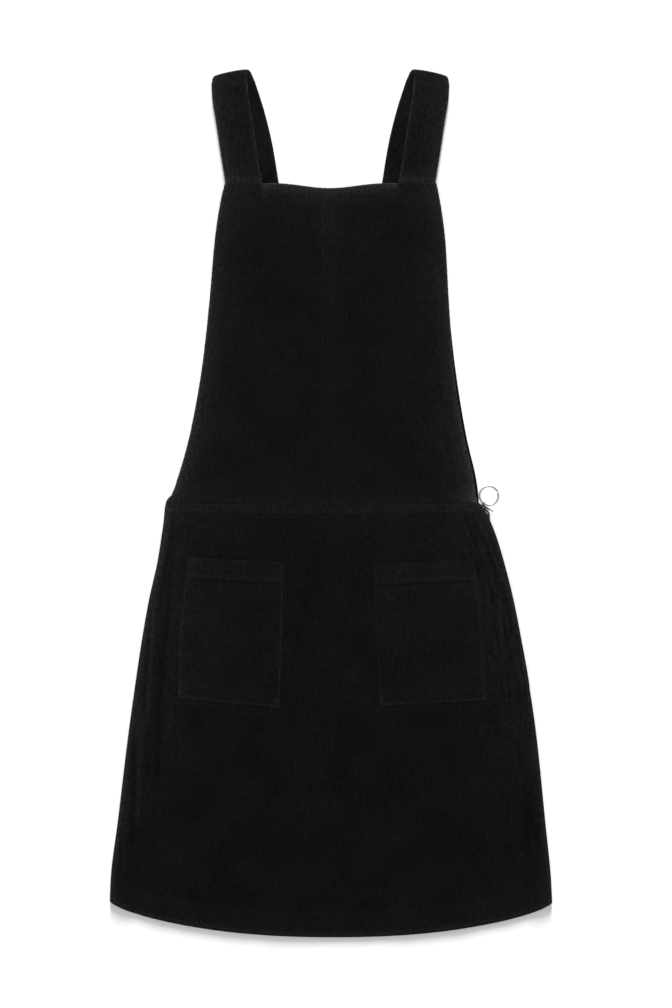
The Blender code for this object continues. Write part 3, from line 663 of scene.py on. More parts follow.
class Value:
    """A number that varies over a surface. Using it in an expression adds its Math nodes."""

    def __init__(self, board: "Board", socket: Socket) -> None:
        """Keeps the board it lives on and the socket it comes from."""
        self.board = board
        self.socket = socket

    def math(self, operation: str, *others: "Value | float", clamp: bool = False) -> "Value":
        """One Math node of this value and up to two others."""
        made = self.board.node("Math", {"operation": operation, "use_clamp": clamp})
        for place, value in enumerate((self, *others)):
            self.board.feed(made.inputs[place], value)
        return Value(self.board, made.outputs[0])

    def __add__(self, other: "Value | float") -> "Value":
        """Sum."""
        return self.math("ADD", other)

    __radd__ = __add__

    def __sub__(self, other: "Value | float") -> "Value":
        """Difference."""
        return self.math("SUBTRACT", other)

    def __rsub__(self, other: float) -> "Value":
        """Difference from a number."""
        made = self.board.node("Math", {"operation": "SUBTRACT"})
        self.board.feed(made.inputs[0], other)
        self.board.feed(made.inputs[1], self)
        return Value(self.board, made.outputs[0])

    def __mul__(self, other: "Value | float") -> "Value":
        """Product."""
        return self.math("MULTIPLY", other)

    __rmul__ = __mul__

    def sine(self) -> "Value":
        """Sine."""
        return self.math("SINE")

    def size(self) -> "Value":
        """Absolute value."""
        return self.math("ABSOLUTE")

    def clamped(self) -> "Value":
        """The value held between 0 and 1."""
        return self.math("ADD", 0.0, clamp=True)

    def step(self, low: float, high: float) -> "Value":
        """Smooth step from 0 at low to 1 at high."""
        settings = {"interpolation_type": "SMOOTHSTEP"}
        sockets = {"Value": self, "From Min": low, "From Max": high, "To Min": 0.0, "To Max": 1.0}
        return Value(self.board, self.board.node("MapRange", settings, sockets).outputs[0])


class Board:
    """The node tree of one material, and the one way that a node gets into it."""

    def __init__(self, name: str) -> None:
        """Makes the material with an empty tree."""
        self.material = bpy.data.materials.new(name)
        self.material.use_nodes = True
        self.tree = self.material.node_tree
        self.tree.nodes.clear()

    def feed(self, socket: Socket, value: object) -> None:
        """Links a value or a socket to an input, or sets a plain number or colour on it."""
        if isinstance(value, Value):
            self.tree.links.new(value.socket, socket)
        elif isinstance(value, Socket):
            self.tree.links.new(value, socket)
        else:
            socket.default_value = value

    def node(self, kind: str, settings: dict | None = None, sockets: dict | None = None) -> bpy.types.Node:
        """Adds a node.

        Args:
            kind, settings: its type, after its prefix, and its own properties, set first.
            sockets: values, numbers or links for its inputs, by name.

        Returns:
            The node.
        """
        made = self.tree.nodes.new("ShaderNode" + kind)
        for name, value in (settings or {}).items():
            setattr(made, name, value)
        for name, value in (sockets or {}).items():
            self.feed(made.inputs[name], value)
        return made

    def attribute(self, name: str) -> Value:
        """A number that the mesh stores at its points."""
        made = self.node("Attribute", {"attribute_name": name, "attribute_type": "GEOMETRY"})
        return Value(self, made.outputs["Fac"])

    def place(self, kind: str, scale: Triple = (1, 1, 1)) -> Socket:
        """Object or UV coordinates, scaled."""
        source = self.node("TexCoord").outputs[kind]
        return self.node("Mapping", None, {"Vector": source, "Scale": scale}).outputs[0]

    def noise(self, where: Socket, scale: float, detail: float = 2) -> Value:
        """Soft noise from 0 to 1."""
        sockets = {"Vector": where, "Scale": scale, "Detail": detail, "Roughness": 0.55}
        return Value(self, self.node("TexNoise", None, sockets).outputs[0])

    def stretched(self, kind: str, scale: Triple, detail: float) -> Value:
        """Soft noise on object or UV coordinates that are scaled by their own amount each way."""
        return self.noise(self.place(kind, scale), 1, detail)

    def parts(self, vector: Socket) -> tuple[Value, Value]:
        """The first two parts of a vector."""
        split = self.node("SeparateXYZ", None, {"Vector": vector})
        return Value(self, split.outputs[0]), Value(self, split.outputs[1])

    def mix(self, share: Value, first: object, second: object) -> Socket:
        """A colour between two others."""
        made = self.node("Mix", {"data_type": "RGBA"})
        self.feed(made.inputs[0], share)
        self.feed(made.inputs[6], first)
        self.feed(made.inputs[7], second)
        return made.outputs[2]

    def bump(
        self, height: Value, distance: float, strength: float = 1, onto: Socket | None = None
    ) -> Socket:
        """A normal, which may be a bent one, bent by a height from 0 to 1 that stands for the distance."""
        sockets = {"Height": height, "Distance": distance, "Strength": strength}
        if onto is not None:
            sockets["Normal"] = onto
        return self.node("Bump", None, sockets).outputs[0]

    def surface(self, sockets: dict) -> Material:
        """Ends the tree with a Principled shader that has these inputs."""
        shader = self.node("BsdfPrincipled", None, sockets)
        output = self.node("OutputMaterial")
        self.tree.links.new(shader.outputs[0], output.inputs["Surface"])
        return self.material


# ---- Finishes ----


def grey(level: float, warm: float = 0) -> Quad:
    """A near neutral colour: its level, made warmer or cooler by a share."""
    return (level * (1 + warm), level, level * (1 - warm), 1)


def ink(level: float, blue: float = 0.15) -> Quad:
    """The black of the dyed cloth: its level, with a share more of blue and a little less of red."""
    return (level * (1 - 0.3 * blue), level, level * (1 + 0.9 * blue), 1)


@dataclass(frozen=True)
class CorduroyFinish:
    """Fine-wale corduroy: pile ridges along the cloth's length, with nap, lint, and painted light and wear
    at edges.

    The noises are scaled per metre, across the wales and along them.
    """

    name: str
    tone: float = 1
    blue: float = 0.15
    # rim_light_blue: the blue share of the painted rim highlight's colour
    rim_light_blue: float = 0
    grain: float = 1
    wale: float = 1.25 * MM
    wale_drift: float = 2.5
    dark: float = 0.0006
    light: float = 0.0078
    # rim_light: the colour that painted highlights, sheen and wear on rims, crests and ticks turn towards
    rim_light: float = 0.034
    lint_light: float = 0.024
    drift_scale: Triple = (40, 9, 1)
    streak_scale: Triple = (430, 62, 1)
    mottle_scale: Triple = (350, 180, 1)
    tuft_scale: Triple = (640, 460, 1)
    wobble_scale: Triple = (150, 150, 1)
    nap_scale: float = 1500
    cloud_scale: float = 21
    patch_scale: float = 105
    lint_scale: float = 74
    lint_chosen: Pair = (0.89, 0.90)
    lint_size: Pair = (0.025, 0.060)
    pucker: float = 3.3 * MM
    pucker_slant: float = 0.4
    pucker_wobble: float = 7
    # tick_light: how much lighter pucker ticks are painted, a painted highlight on their crests
    tick_light: float = 0.13
    tick_depth: float = 0.5 * MM
    pile_depth: float = 0.32 * MM

    def material(self) -> Material:
        """The cloth's material, which reads the sheet's own UV in metres."""
        board = Board(self.name)
        uv = board.place("UV")
        across, along = board.parts(uv)
        drift = board.stretched("UV", self.drift_scale, 1.0)
        ridge = ((across * (math.pi / self.wale) + drift * self.wale_drift).sine()).size()
        nap = board.noise(uv, self.nap_scale, 2)
        cloud = board.noise(board.place("Object"), self.cloud_scale, 3.0)
        streak = board.stretched("UV", self.streak_scale, 2.0)
        mottle = board.stretched("UV", self.mottle_scale, 1.5)
        tufts = board.stretched("UV", self.tuft_scale, 1.0)
        patch = (board.noise(uv, self.patch_scale, 2) * 3 - 0.8).clamped()
        ticks = self.gathers(board, across, along, mottle) * (patch * 0.8 + 0.5)
        # rim and painted_light are painted light from the mesh: sheen and highlights on rims and crests,
        # lifts where shade falls, and some wear of the nap; below zero, painted shade
        rim, painted_light = board.attribute("rim"), board.attribute("painted_light")
        shade = mottle * 0.75 + tufts * 0.45 + streak * 0.60 + cloud * 0.80 + ridge * 0.15 - 0.90
        shade = (shade * self.grain + (0.5 - 0.5 * self.grain)).clamped()
        light, tint = self.light * self.tone, (1.2 - painted_light * 6).clamped()
        high = board.mix(tint, ink(light, 0), ink(light, 1.25 * self.blue))
        pile = board.mix(shade, ink(self.dark * self.tone, self.blue), high)
        # painted highlight and wear along the rims, broken up by the noises, with the painted light and
        # the lighter pucker ticks
        painted_light_and_wear = rim * (mottle * 1.8 + tufts * 1.6 - 0.75) * (patch * 1.2 + 0.4)
        edge = (painted_light_and_wear + painted_light * (mottle * 2.4 - 0.2) + ticks * self.tick_light).clamped()
        rim_light_and_wear = board.mix(edge, pile, ink(self.rim_light * self.tone, self.rim_light_blue))
        height = ridge * 0.5 + nap * 0.25 + tufts * 0.25
        folds = board.bump(ticks, self.tick_depth, 0.9)
        sockets = {
            "Base Color": board.mix(self.lint(board, uv), rim_light_and_wear, grey(self.lint_light, 0.02)),
            "Roughness": 0.92,
            "Specular IOR Level": 0.018,
            "Sheen Weight": 0.02,
            "Sheen Roughness": 0.4,
            "Sheen Tint": grey(0.9, 0.01),
            "Normal": board.bump(height, self.pile_depth, 0.8, folds),
        }
        return board.surface(sockets)

    def lint(self, board: Board, uv: Socket) -> Value:
        """Specks of lint: round spots in a few cells of a Voronoi pattern, each of its own strength."""
        flat = {"feature": "F1", "voronoi_dimensions": "2D"}
        cell = board.node("TexVoronoi", flat, {"Vector": uv, "Scale": self.lint_scale})
        pick = board.node("SeparateColor", None, {"Color": cell.outputs["Color"]})
        chosen = Value(board, pick.outputs[0]).step(*self.lint_chosen)
        strength = Value(board, pick.outputs[1])
        speck = (1.0 - Value(board, cell.outputs["Distance"]).step(*self.lint_size)) * chosen
        return speck * strength * strength

    def gathers(self, board: Board, across: Value, along: Value, mottle: Value) -> Value:
        """Uneven ticks where stitching draws the cloth in: waves across a seam, broken up by noise.

        Args:
            board, mottle: the material's board, and the noise that makes the ticks uneven.
            across, along: the UV's two parts, in metres.

        Returns:
            Their height from 0 to 1, which is 0 away from the seams.
        """
        wobble = board.stretched("UV", self.wobble_scale, 1.0) * self.pucker_wobble
        turn = 2 * math.pi / self.pucker
        over = (across * turn + along * (self.pucker_slant * turn) + wobble).sine() * 0.5 + 0.5
        lengthwise = ((along * turn + wobble).sine() * 0.5 + 0.5) * board.attribute("ladder")
        return (over * board.attribute("band") + lengthwise) * (mottle * 2.0).clamped()


@dataclass(frozen=True)
class ThreadFinish:
    """Spun black thread with a slight lustre, whose ply shows as fine slanting lines."""

    name: str
    level: float = 0.0062
    ply: float = 0.45 * MM
    ply_depth: float = 0.08 * MM
    fuzz_scale: float = 900
    sunk_scale: float = 110

    def material(self) -> Material:
        """The thread's material."""
        board = Board(self.name)
        where = board.place("Object")
        x, y = board.parts(where)
        ply = ((x + y) * (2 * math.pi / self.ply)).sine() * 0.5 + 0.5
        fuzz = board.noise(where, self.fuzz_scale, 2)
        sunk = (board.noise(where, self.sunk_scale, 2) * 3 - 0.9).clamped()
        lit = ((ply * 0.4 + fuzz * 0.8 - 0.1) * (sunk * 0.9 + 0.2)).clamped()
        sockets = {
            "Base Color": board.mix(lit, ink(self.level * 0.4), ink(self.level * 1.7)),
            "Roughness": (fuzz * 0.25 + 0.5).clamped(),
            "Specular IOR Level": 0.08,
            "Sheen Weight": 0.02,
            "Normal": board.bump(ply, self.ply_depth),
        }
        return board.surface(sockets)


@dataclass(frozen=True)
class TapeFinish:
    """Woven black zip tape: a herringbone of fine yarns."""

    name: str
    level: float = 0.006
    yarn: float = 0.7 * MM
    herringbone: float = 3.2 * MM
    weave_depth: float = 0.15 * MM
    fuzz_scale: float = 1100

    def material(self) -> Material:
        """The tape's material."""
        board = Board(self.name)
        uv = board.place("UV")
        across, along = board.parts(uv)
        zigzag = ((across * (math.pi / self.herringbone)).sine()).size() * 2
        twill = ((along * (2 * math.pi / self.yarn) + zigzag * 4).sine()) * 0.5 + 0.5
        fuzz = board.noise(uv, self.fuzz_scale, 2)
        woven = (twill * 0.6 + fuzz * 0.5).clamped()
        sockets = {
            "Base Color": board.mix(woven, grey(self.level * 0.5), grey(self.level * 1.6)),
            "Roughness": 0.85,
            "Specular IOR Level": 0.05,
            "Sheen Weight": 0.02,
            "Normal": board.bump(twill * 0.8 + fuzz * 0.2, self.weave_depth),
        }
        return board.surface(sockets)


@dataclass(frozen=True)
class MetalFinish:
    """Plated metal: its colour, tarnish in patches and fine scratches."""

    name: str
    colour: Quad
    tarnish: Quad
    roughness: float
    patches: float = 260
    wear: float = 0.5
    scratch_scale: Triple = (900, 5200, 2600)
    scratch_depth: float = 0.02 * MM

    def material(self) -> Material:
        """The metal's material."""
        board = Board(self.name)
        patch = board.noise(board.place("Object"), self.patches, 3.0)
        scratch = board.stretched("Object", self.scratch_scale, 2.0)
        share = ((patch - 0.42) * (2.2 * self.wear) - board.attribute("polish")).clamped()
        sockets = {
            "Base Color": board.mix(share, self.colour, self.tarnish),
            "Metallic": 1.0,
            "Roughness": (scratch * 0.22 + patch * 0.18 + (self.roughness - 0.16)).clamped(),
            "Normal": board.bump(scratch * 0.7 + patch * 0.3, self.scratch_depth, 0.5),
        }
        return board.surface(sockets)


@dataclass(frozen=True)
class FloorFinish:
    """A plain pale matt surface."""

    name: str = "floor_paper"
    level: float = 0.90

    def material(self) -> Material:
        """The floor's material."""
        sockets = {"Base Color": grey(self.level), "Roughness": 0.9, "Specular IOR Level": 0.0}
        return Board(self.name).surface(sockets)


class Finishes:
    """Every material of the dress, made once."""

    def __init__(self) -> None:
        """Makes the materials."""
        self.panel = CorduroyFinish("corduroy_panel", 0.91, grain=0.74).material()
        self.bib = CorduroyFinish("corduroy_bib", 1.08, grain=0.66).material()
        self.strap = CorduroyFinish("corduroy_strap", 1.33, 0.02, grain=0.95, wale=1.3 * MM).material()
        self.pocket = CorduroyFinish("corduroy_pocket", 1.06, 0.12, 0.14, 0.72).material()
        self.thread = ThreadFinish("topstitch_thread").material()
        self.tape = TapeFinish("zip_tape_weave").material()
        gunmetal, brass = (grey(0.060, 0.08), grey(0.020, 0.05)), (grey(0.115, 0.05), grey(0.012, 0.20))
        nickel = (grey(0.36, 0.01), grey(0.26, 0.03))
        self.teeth = MetalFinish("teeth_gunmetal", *gunmetal, 0.45).material()
        # The slider's tarnish is near black and raised by wear=2.6, so its body reads dark: partly painted
        # shade, as the slider casts no shadow, even on itself.
        self.slider = MetalFinish("slider_brass", *brass, 0.40, wear=2.6).material()
        self.ring = MetalFinish("ring_nickel", *nickel, 0.42, 420.0, 0.35).material()


# ---- Meshes ----


def linked(name: str, data: bpy.types.ID) -> Thing:
    """A new object in the scene that holds the data."""
    made = bpy.data.objects.new(name, data)
    bpy.context.scene.collection.objects.link(made)
    return made


def make_object(
    name: str, points: Array, faces: Array | list[list[int]], material: Material,
    uv: Array | None = None, values: dict[str, Array] | None = None,
) -> Thing:
    """Makes a smooth shaded mesh object at the origin.

    Args:
        name, material: the object's name and finish.
        points, faces: its points, and the point numbers of each face.
        uv, values: a UV for each point, and numbers for each by attribute name.

    Returns:
        The object.
    """
    mesh = bpy.data.meshes.new(name)
    faces = faces if isinstance(faces, list) else faces.tolist()
    mesh.from_pydata(points.reshape(-1, 3).tolist(), [], faces)
    corners = np.empty(len(mesh.loops), np.int32)
    mesh.loops.foreach_get("vertex_index", corners)
    if uv is not None:
        layer = mesh.uv_layers.new(name="cloth")
        layer.data.foreach_set("uv", uv.reshape(-1, 2)[corners].ravel().astype(np.float32))
    for key, numbers in (values or {}).items():
        layer = mesh.attributes.new(key, "FLOAT", "POINT")
        layer.data.foreach_set("value", numbers.ravel().astype(np.float32))
    mesh.shade_smooth()
    mesh.materials.append(material)
    return linked(name, mesh)


def grid_faces(rows: int, columns: int, wrap_rows: bool = False, wrap_columns: bool = False) -> Array:
    """Quads of a grid whose points are numbered row by row, closed round where it wraps."""
    index = np.arange(rows * columns).reshape(rows, columns)
    if wrap_rows:
        index = np.vstack([index, index[:1]])
    if wrap_columns:
        index = np.hstack([index, index[:, :1]])
    quads = [index[:-1, :-1], index[:-1, 1:], index[1:, 1:], index[1:, :-1]]
    return np.stack(quads, axis=-1).reshape(-1, 4)


def repeated(faces: Array, count: int, points: int) -> Array:
    """The faces of one shape for each of count shapes that have so many points."""
    return (faces[None] + (np.arange(count) * points)[:, None, None]).reshape(-1, 4)


def joined(parts: list[Arrays]) -> Arrays:
    """The points and faces of several parts as one."""
    starts = np.cumsum([0] + [len(points) for points, _ in parts[:-1]])
    faces = [faces + start for (_, faces), start in zip(parts, starts)]
    return np.concatenate([points for points, _ in parts]), np.concatenate(faces)


def unit(vectors: Array) -> Array:
    """The vectors drawn to a length of one."""
    return vectors / np.linalg.norm(vectors, axis=-1, keepdims=True)


def around(count: int) -> Array:
    """Even turns round a full circle."""
    return np.arange(count) * 2 * np.pi / count


def ways_along(path: Array) -> Array:
    """The way along a path to each of its points."""
    return np.concatenate([[0], np.cumsum(np.linalg.norm(np.diff(path, axis=0), axis=1))])


def along_path(path: Array, arc: Array, at: Array) -> Array:
    """Points of a path, or of numbers given along it, at the ways `at` where arc holds its own ways."""
    return np.stack([np.interp(at, arc, path[:, i]) for i in range(path.shape[1])], axis=-1)


def tangents(path: Array, arc: Array, at: Array, reach: float) -> Array:
    """Unit directions of a path at the ways `at`, from points one reach before to one reach after."""
    return unit(along_path(path, arc, at + reach) - along_path(path, arc, at - reach))


def squared(value: Array, power: float) -> Array:
    """A sine or cosine drawn towards a square wave: its sign times its size to a power below one."""
    return np.sign(value) * np.abs(value) ** power


def block(rounds: int, sides: int, power: float) -> tuple[Array, Array, Array]:
    """A rounded block from -1 to 1: a sphere whose sines and cosines are drawn towards square waves.

    Args:
        rounds, sides: the numbers of points from pole to pole and round.
        power: how square it is, from 1, round, towards 0, square.

    Returns:
        Its two parts across the poles' line, and the part along it.
    """
    lift = np.linspace(-np.pi / 2, np.pi / 2, rounds)[:, None]
    turn = around(sides)[None, :]
    ring = squared(np.cos(lift), power)
    high = squared(np.sin(lift), power) * np.ones_like(turn)
    return ring * squared(np.cos(turn), power), ring * squared(np.sin(turn), power), high


class Rims(NamedTuple):
    """Radii over which a sheet's four rims round off: first and last column, first and last row."""

    left: float
    right: float
    first: float
    last: float


@dataclass
class ClothSheet:
    """A wall of cloth: an outer face on a grid, and an inner one a thickness behind it.

    They meet at the middle of the wall along all four rims. At d along the cloth from a rim of radius r,
    each stands off the middle by half the thickness times sqrt(1 - (1 - d / r) ** 2), so a rim is round.
    """

    name: str
    outer: Array
    thickness: float
    rims: Rims
    faces_up: bool = True
    # painted_light: painted light and shade at each point; band and ladder: strength of pucker ticks,
    # which the material bumps and paints lighter
    painted_light: Array | float = 0.0
    band: Array | float = 0.0
    ladder: Array | float = 0.0
    rim_reach: float = 1.1 * MM
    # the strength of the painted highlight, with some wear, along each rim: first column, last column,
    # first row, last row
    rim_light_and_wear: Quad = (0, 0, 0, 0)
    inner_every: int = 4
    inner_near: int = 6

    def arcs(self) -> tuple[Array, Array, Array, Array]:
        """Ways along the cloth from the first column and row, and to the last ones."""
        steps = [np.linalg.norm(np.diff(self.outer, axis=axis), axis=-1) for axis in (0, 1)]
        u, v = (np.insert(np.cumsum(steps[axis], axis), 0, 0, axis) for axis in (1, 0))
        return u, u[:, -1:] - u, v, v[-1:, :] - v

    def normals(self) -> Array:
        """Unit normals of the outer face: the cross product of its two directions."""
        normal = unit(np.cross(np.gradient(self.outer, axis=1), np.gradient(self.outer, axis=0)))
        middle = normal[0, normal.shape[1] // 2, 2]
        return normal if (middle > 0) == self.faces_up else -normal

    def build(self, material: Material) -> Thing:
        """Makes the closed wall, with its UV in metres, its painted rim highlight and painted light, and
        its band and ladder values.
        """
        rows, columns = self.outer.shape[:2]
        arcs = self.arcs()
        whole = np.ones((rows, columns))
        stand, rim = whole, 0 * whole
        for arc, radius, rim_light_and_wear in zip(arcs, self.rims, self.rim_light_and_wear):
            near = 1 - np.clip(arc / radius, 0, 1)
            stand = stand * np.sqrt(np.clip(1 - near**2, 0, 1))
            # painted highlight with some wear, fading in from each rim
            rim = np.maximum(rim, rim_light_and_wear * bell(arc, self.rim_reach))
        half = self.normals() * self.thickness / 2
        middle = self.outer - half
        top, bottom = middle + half * stand[..., None], middle - half * stand[..., None]
        down, across = self.thinned(rows), self.thinned(columns)
        inner = np.ix_(down, across)
        quads = grid_faces(rows, columns)
        faces = quads.tolist() + self.inner_faces(down, across)
        corner = quads[len(quads) // 2]
        place, out = self.outer.reshape(-1, 3)[corner], half.reshape(-1, 3)[corner[0]]
        if np.cross(place[1] - place[0], place[2] - place[0]) @ out < 0:
            faces = [face[::-1] for face in faces]
        centre = np.argmin(np.abs(self.outer[..., 0]).mean(axis=0))
        uv = np.stack([arcs[0] - arcs[0][:, centre : centre + 1], arcs[2]], axis=-1)
        given = {"painted_light": self.painted_light, "band": self.band, "ladder": self.ladder, "rim": rim}
        values = {key: value * whole for key, value in given.items()}
        return make_object(
            self.name,
            np.concatenate([top.reshape(-1, 3), bottom[inner].reshape(-1, 3)]),
            faces,
            material,
            np.concatenate([uv.reshape(-1, 2), uv[inner].reshape(-1, 2)]),
            {key: np.concatenate([v.ravel(), v[inner].ravel()]) for key, v in values.items()},
        )

    def thinned(self, count: int) -> Array:
        """Numbers of the inner face's lines: all near both rims, and one in every few between."""
        near = min(self.inner_near, count // 2)
        middle = np.arange(near, count - near, self.inner_every)
        return np.unique(np.concatenate([np.arange(1, near), middle, np.arange(count - near, count - 1)]))

    def inner_faces(self, down: Array, across: Array) -> list[list[int]]:
        """Faces of the inner side: quads on its own lines, and a strip that joins them to all four rims.

        Args:
            down, across: numbers of the rows and columns that the inner side keeps.

        Returns:
            Lists of point numbers that turn against the outer face's.
        """
        rows, columns = self.outer.shape[:2]
        upper = np.arange(rows * columns).reshape(rows, columns)
        lower = rows * columns + np.arange(len(down) * len(across)).reshape(len(down), len(across))
        quads = lower.ravel()[grid_faces(len(down), len(across))[:, ::-1]].tolist()
        strips = (
            (upper[0], lower[0], across, True),
            (upper[-1], lower[-1], across, False),
            (upper[:, 0], lower[:, 0], down, False),
            (upper[:, -1], lower[:, -1], down, True),
        )
        for line, edge, kept, back in strips:
            for k, (start, stop) in enumerate(zip(kept, kept[1:])):
                rim = line[start : stop + 1].tolist()
                quads.append([edge[k], edge[k + 1]] + rim[::-1] if back else rim + [edge[k + 1], edge[k]])
        corners = [
            [upper[1, 0], lower[0, 0], upper[0, 1], upper[0, 0]],
            [lower[0, -1], upper[1, -1], upper[0, -1], upper[0, -2]],
            [upper[-1, 0], upper[-1, 1], lower[-1, 0], upper[-2, 0]],
            [upper[-1, -2], upper[-1, -1], upper[-2, -1], lower[-1, -1]],
        ]
        return [[int(point) for point in face] for face in quads + corners]


@dataclass
class StitchRow:
    """A row of topstitches along a path: low capsules, each sunk into the cloth at both ends.

    The root of one minus the square of the way along a stitch narrows it, so its ends are round.
    """

    path: Array
    up: Array
    length: float = 2.6 * MM
    gap: float = 0.7 * MM
    width: float = 0.55 * MM
    height: float = 0.40 * MM
    sink: float = 0.16 * MM
    stray: Pair = mm(0.08, 7)
    taper: float = 0.93
    rounds: int = 5
    sides: int = 6

    def points(self) -> Array:
        """Points of all the stitches."""
        arc = ways_along(self.path)
        count = max(int(arc[-1] / (self.length + self.gap)), 1)
        at = (np.arange(count) + 0.5) * arc[-1] / count
        jitter = self.stray[0] * wander(at, self.stray[1], arc[-1] / MM)
        centre, up = along_path(self.path, arc, at), along_path(self.up, arc, at)
        tangent = tangents(self.path, arc, at, 0.5 * MM)
        side = unit(np.cross(up, tangent))
        along = np.linspace(-1, 1, self.rounds)
        taper = np.sqrt(1 - (self.taper * along) ** 2)[:, None]
        turn = around(self.sides)
        cross_side = (taper * np.cos(turn)) * self.width / 2
        cross_up = (taper * np.sin(turn)) * self.height / 2 - self.sink * along[:, None] ** 2
        body = (
            centre[:, None, None]
            + tangent[:, None, None] * (along[:, None, None] * self.length / 2)
            + side[:, None, None] * (cross_side[..., None] + jitter[:, None, None, None])
            + up[:, None, None] * (cross_up[..., None] + self.height * 0.25)
        )
        return body.reshape(-1, 3)

    def mesh(self) -> Arrays:
        """Points and quads of the row, each stitch closed at its ends by two quads over the six sides."""
        points, size = self.points(), self.rounds * self.sides
        tube = grid_faces(self.rounds, self.sides, wrap_columns=True)
        ends = np.array([[0, 1, 2, 3], [0, 3, 4, 5]])
        one = np.concatenate([tube[:, ::-1], ends, size - self.sides + ends[:, ::-1]])
        return points, repeated(one, len(points) // size, size)


def flat_row(path: Array, *sizes: float) -> StitchRow:
    """A row of stitches along a path on the front, where up is +Z. sizes may be their length and gap."""
    return StitchRow(path, np.tile([0.0, 0.0, 1.0], (len(path), 1)), *sizes)


# ---- Panels ----


@dataclass
class Piece:
    """What every sub-assembly does with its objects: tie them to the frame and report them."""

    form: DressForm
    made: list[Thing] = field(default_factory=list, init=False)

    def keep(self, made: Thing, slot: str, replaces: tuple[str, ...] = (), body: str = DRESS) -> Thing:
        """Ties an object to a body, and hides the nodes that it stands for.

        Args:
            made, slot: the object, and its material slot, which is not used.
            replaces, body: the nodes that it replaces, and the body that it rides on.

        Returns:
            The object.
        """
        if replaces:
            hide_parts(*replaces)
        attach(made, body)
        self.made.append(made)
        return made

    def lay(
        self, sheet: ClothSheet, finish: Material, node: str, rests_on: str, flat: Pair,
        area: float | None = None, stitches: tuple[str, list[StitchRow], Material] | None = None,
        held: str = "laid", slot: str = "corduroy",
    ) -> None:
        """Makes a sheet of cloth with its stitches.

        Args:
            sheet, finish: the cloth and its material.
            node, rests_on: the node that it replaces, and what it lies on, which is not used.
            flat, area: the width and length that it was cut to, and its area if not a rectangle's, which
                are not used.
            stitches: the name, rows and material of its stitches.
            held, slot: how it lies, which is not used, and its material slot.
        """
        made = self.keep(sheet.build(finish), slot, (node,))
        if stitches:
            name, rows, thread = stitches
            points, faces = joined([row.mesh() for row in rows])
            self.keep(make_object(name, points, faces, thread), "corduroy")

    def report(self) -> None:
        """Logs the objects and their sizes."""
        for made in self.made:
            log.info("%s: %d points", made.name, len(made.data.vertices))


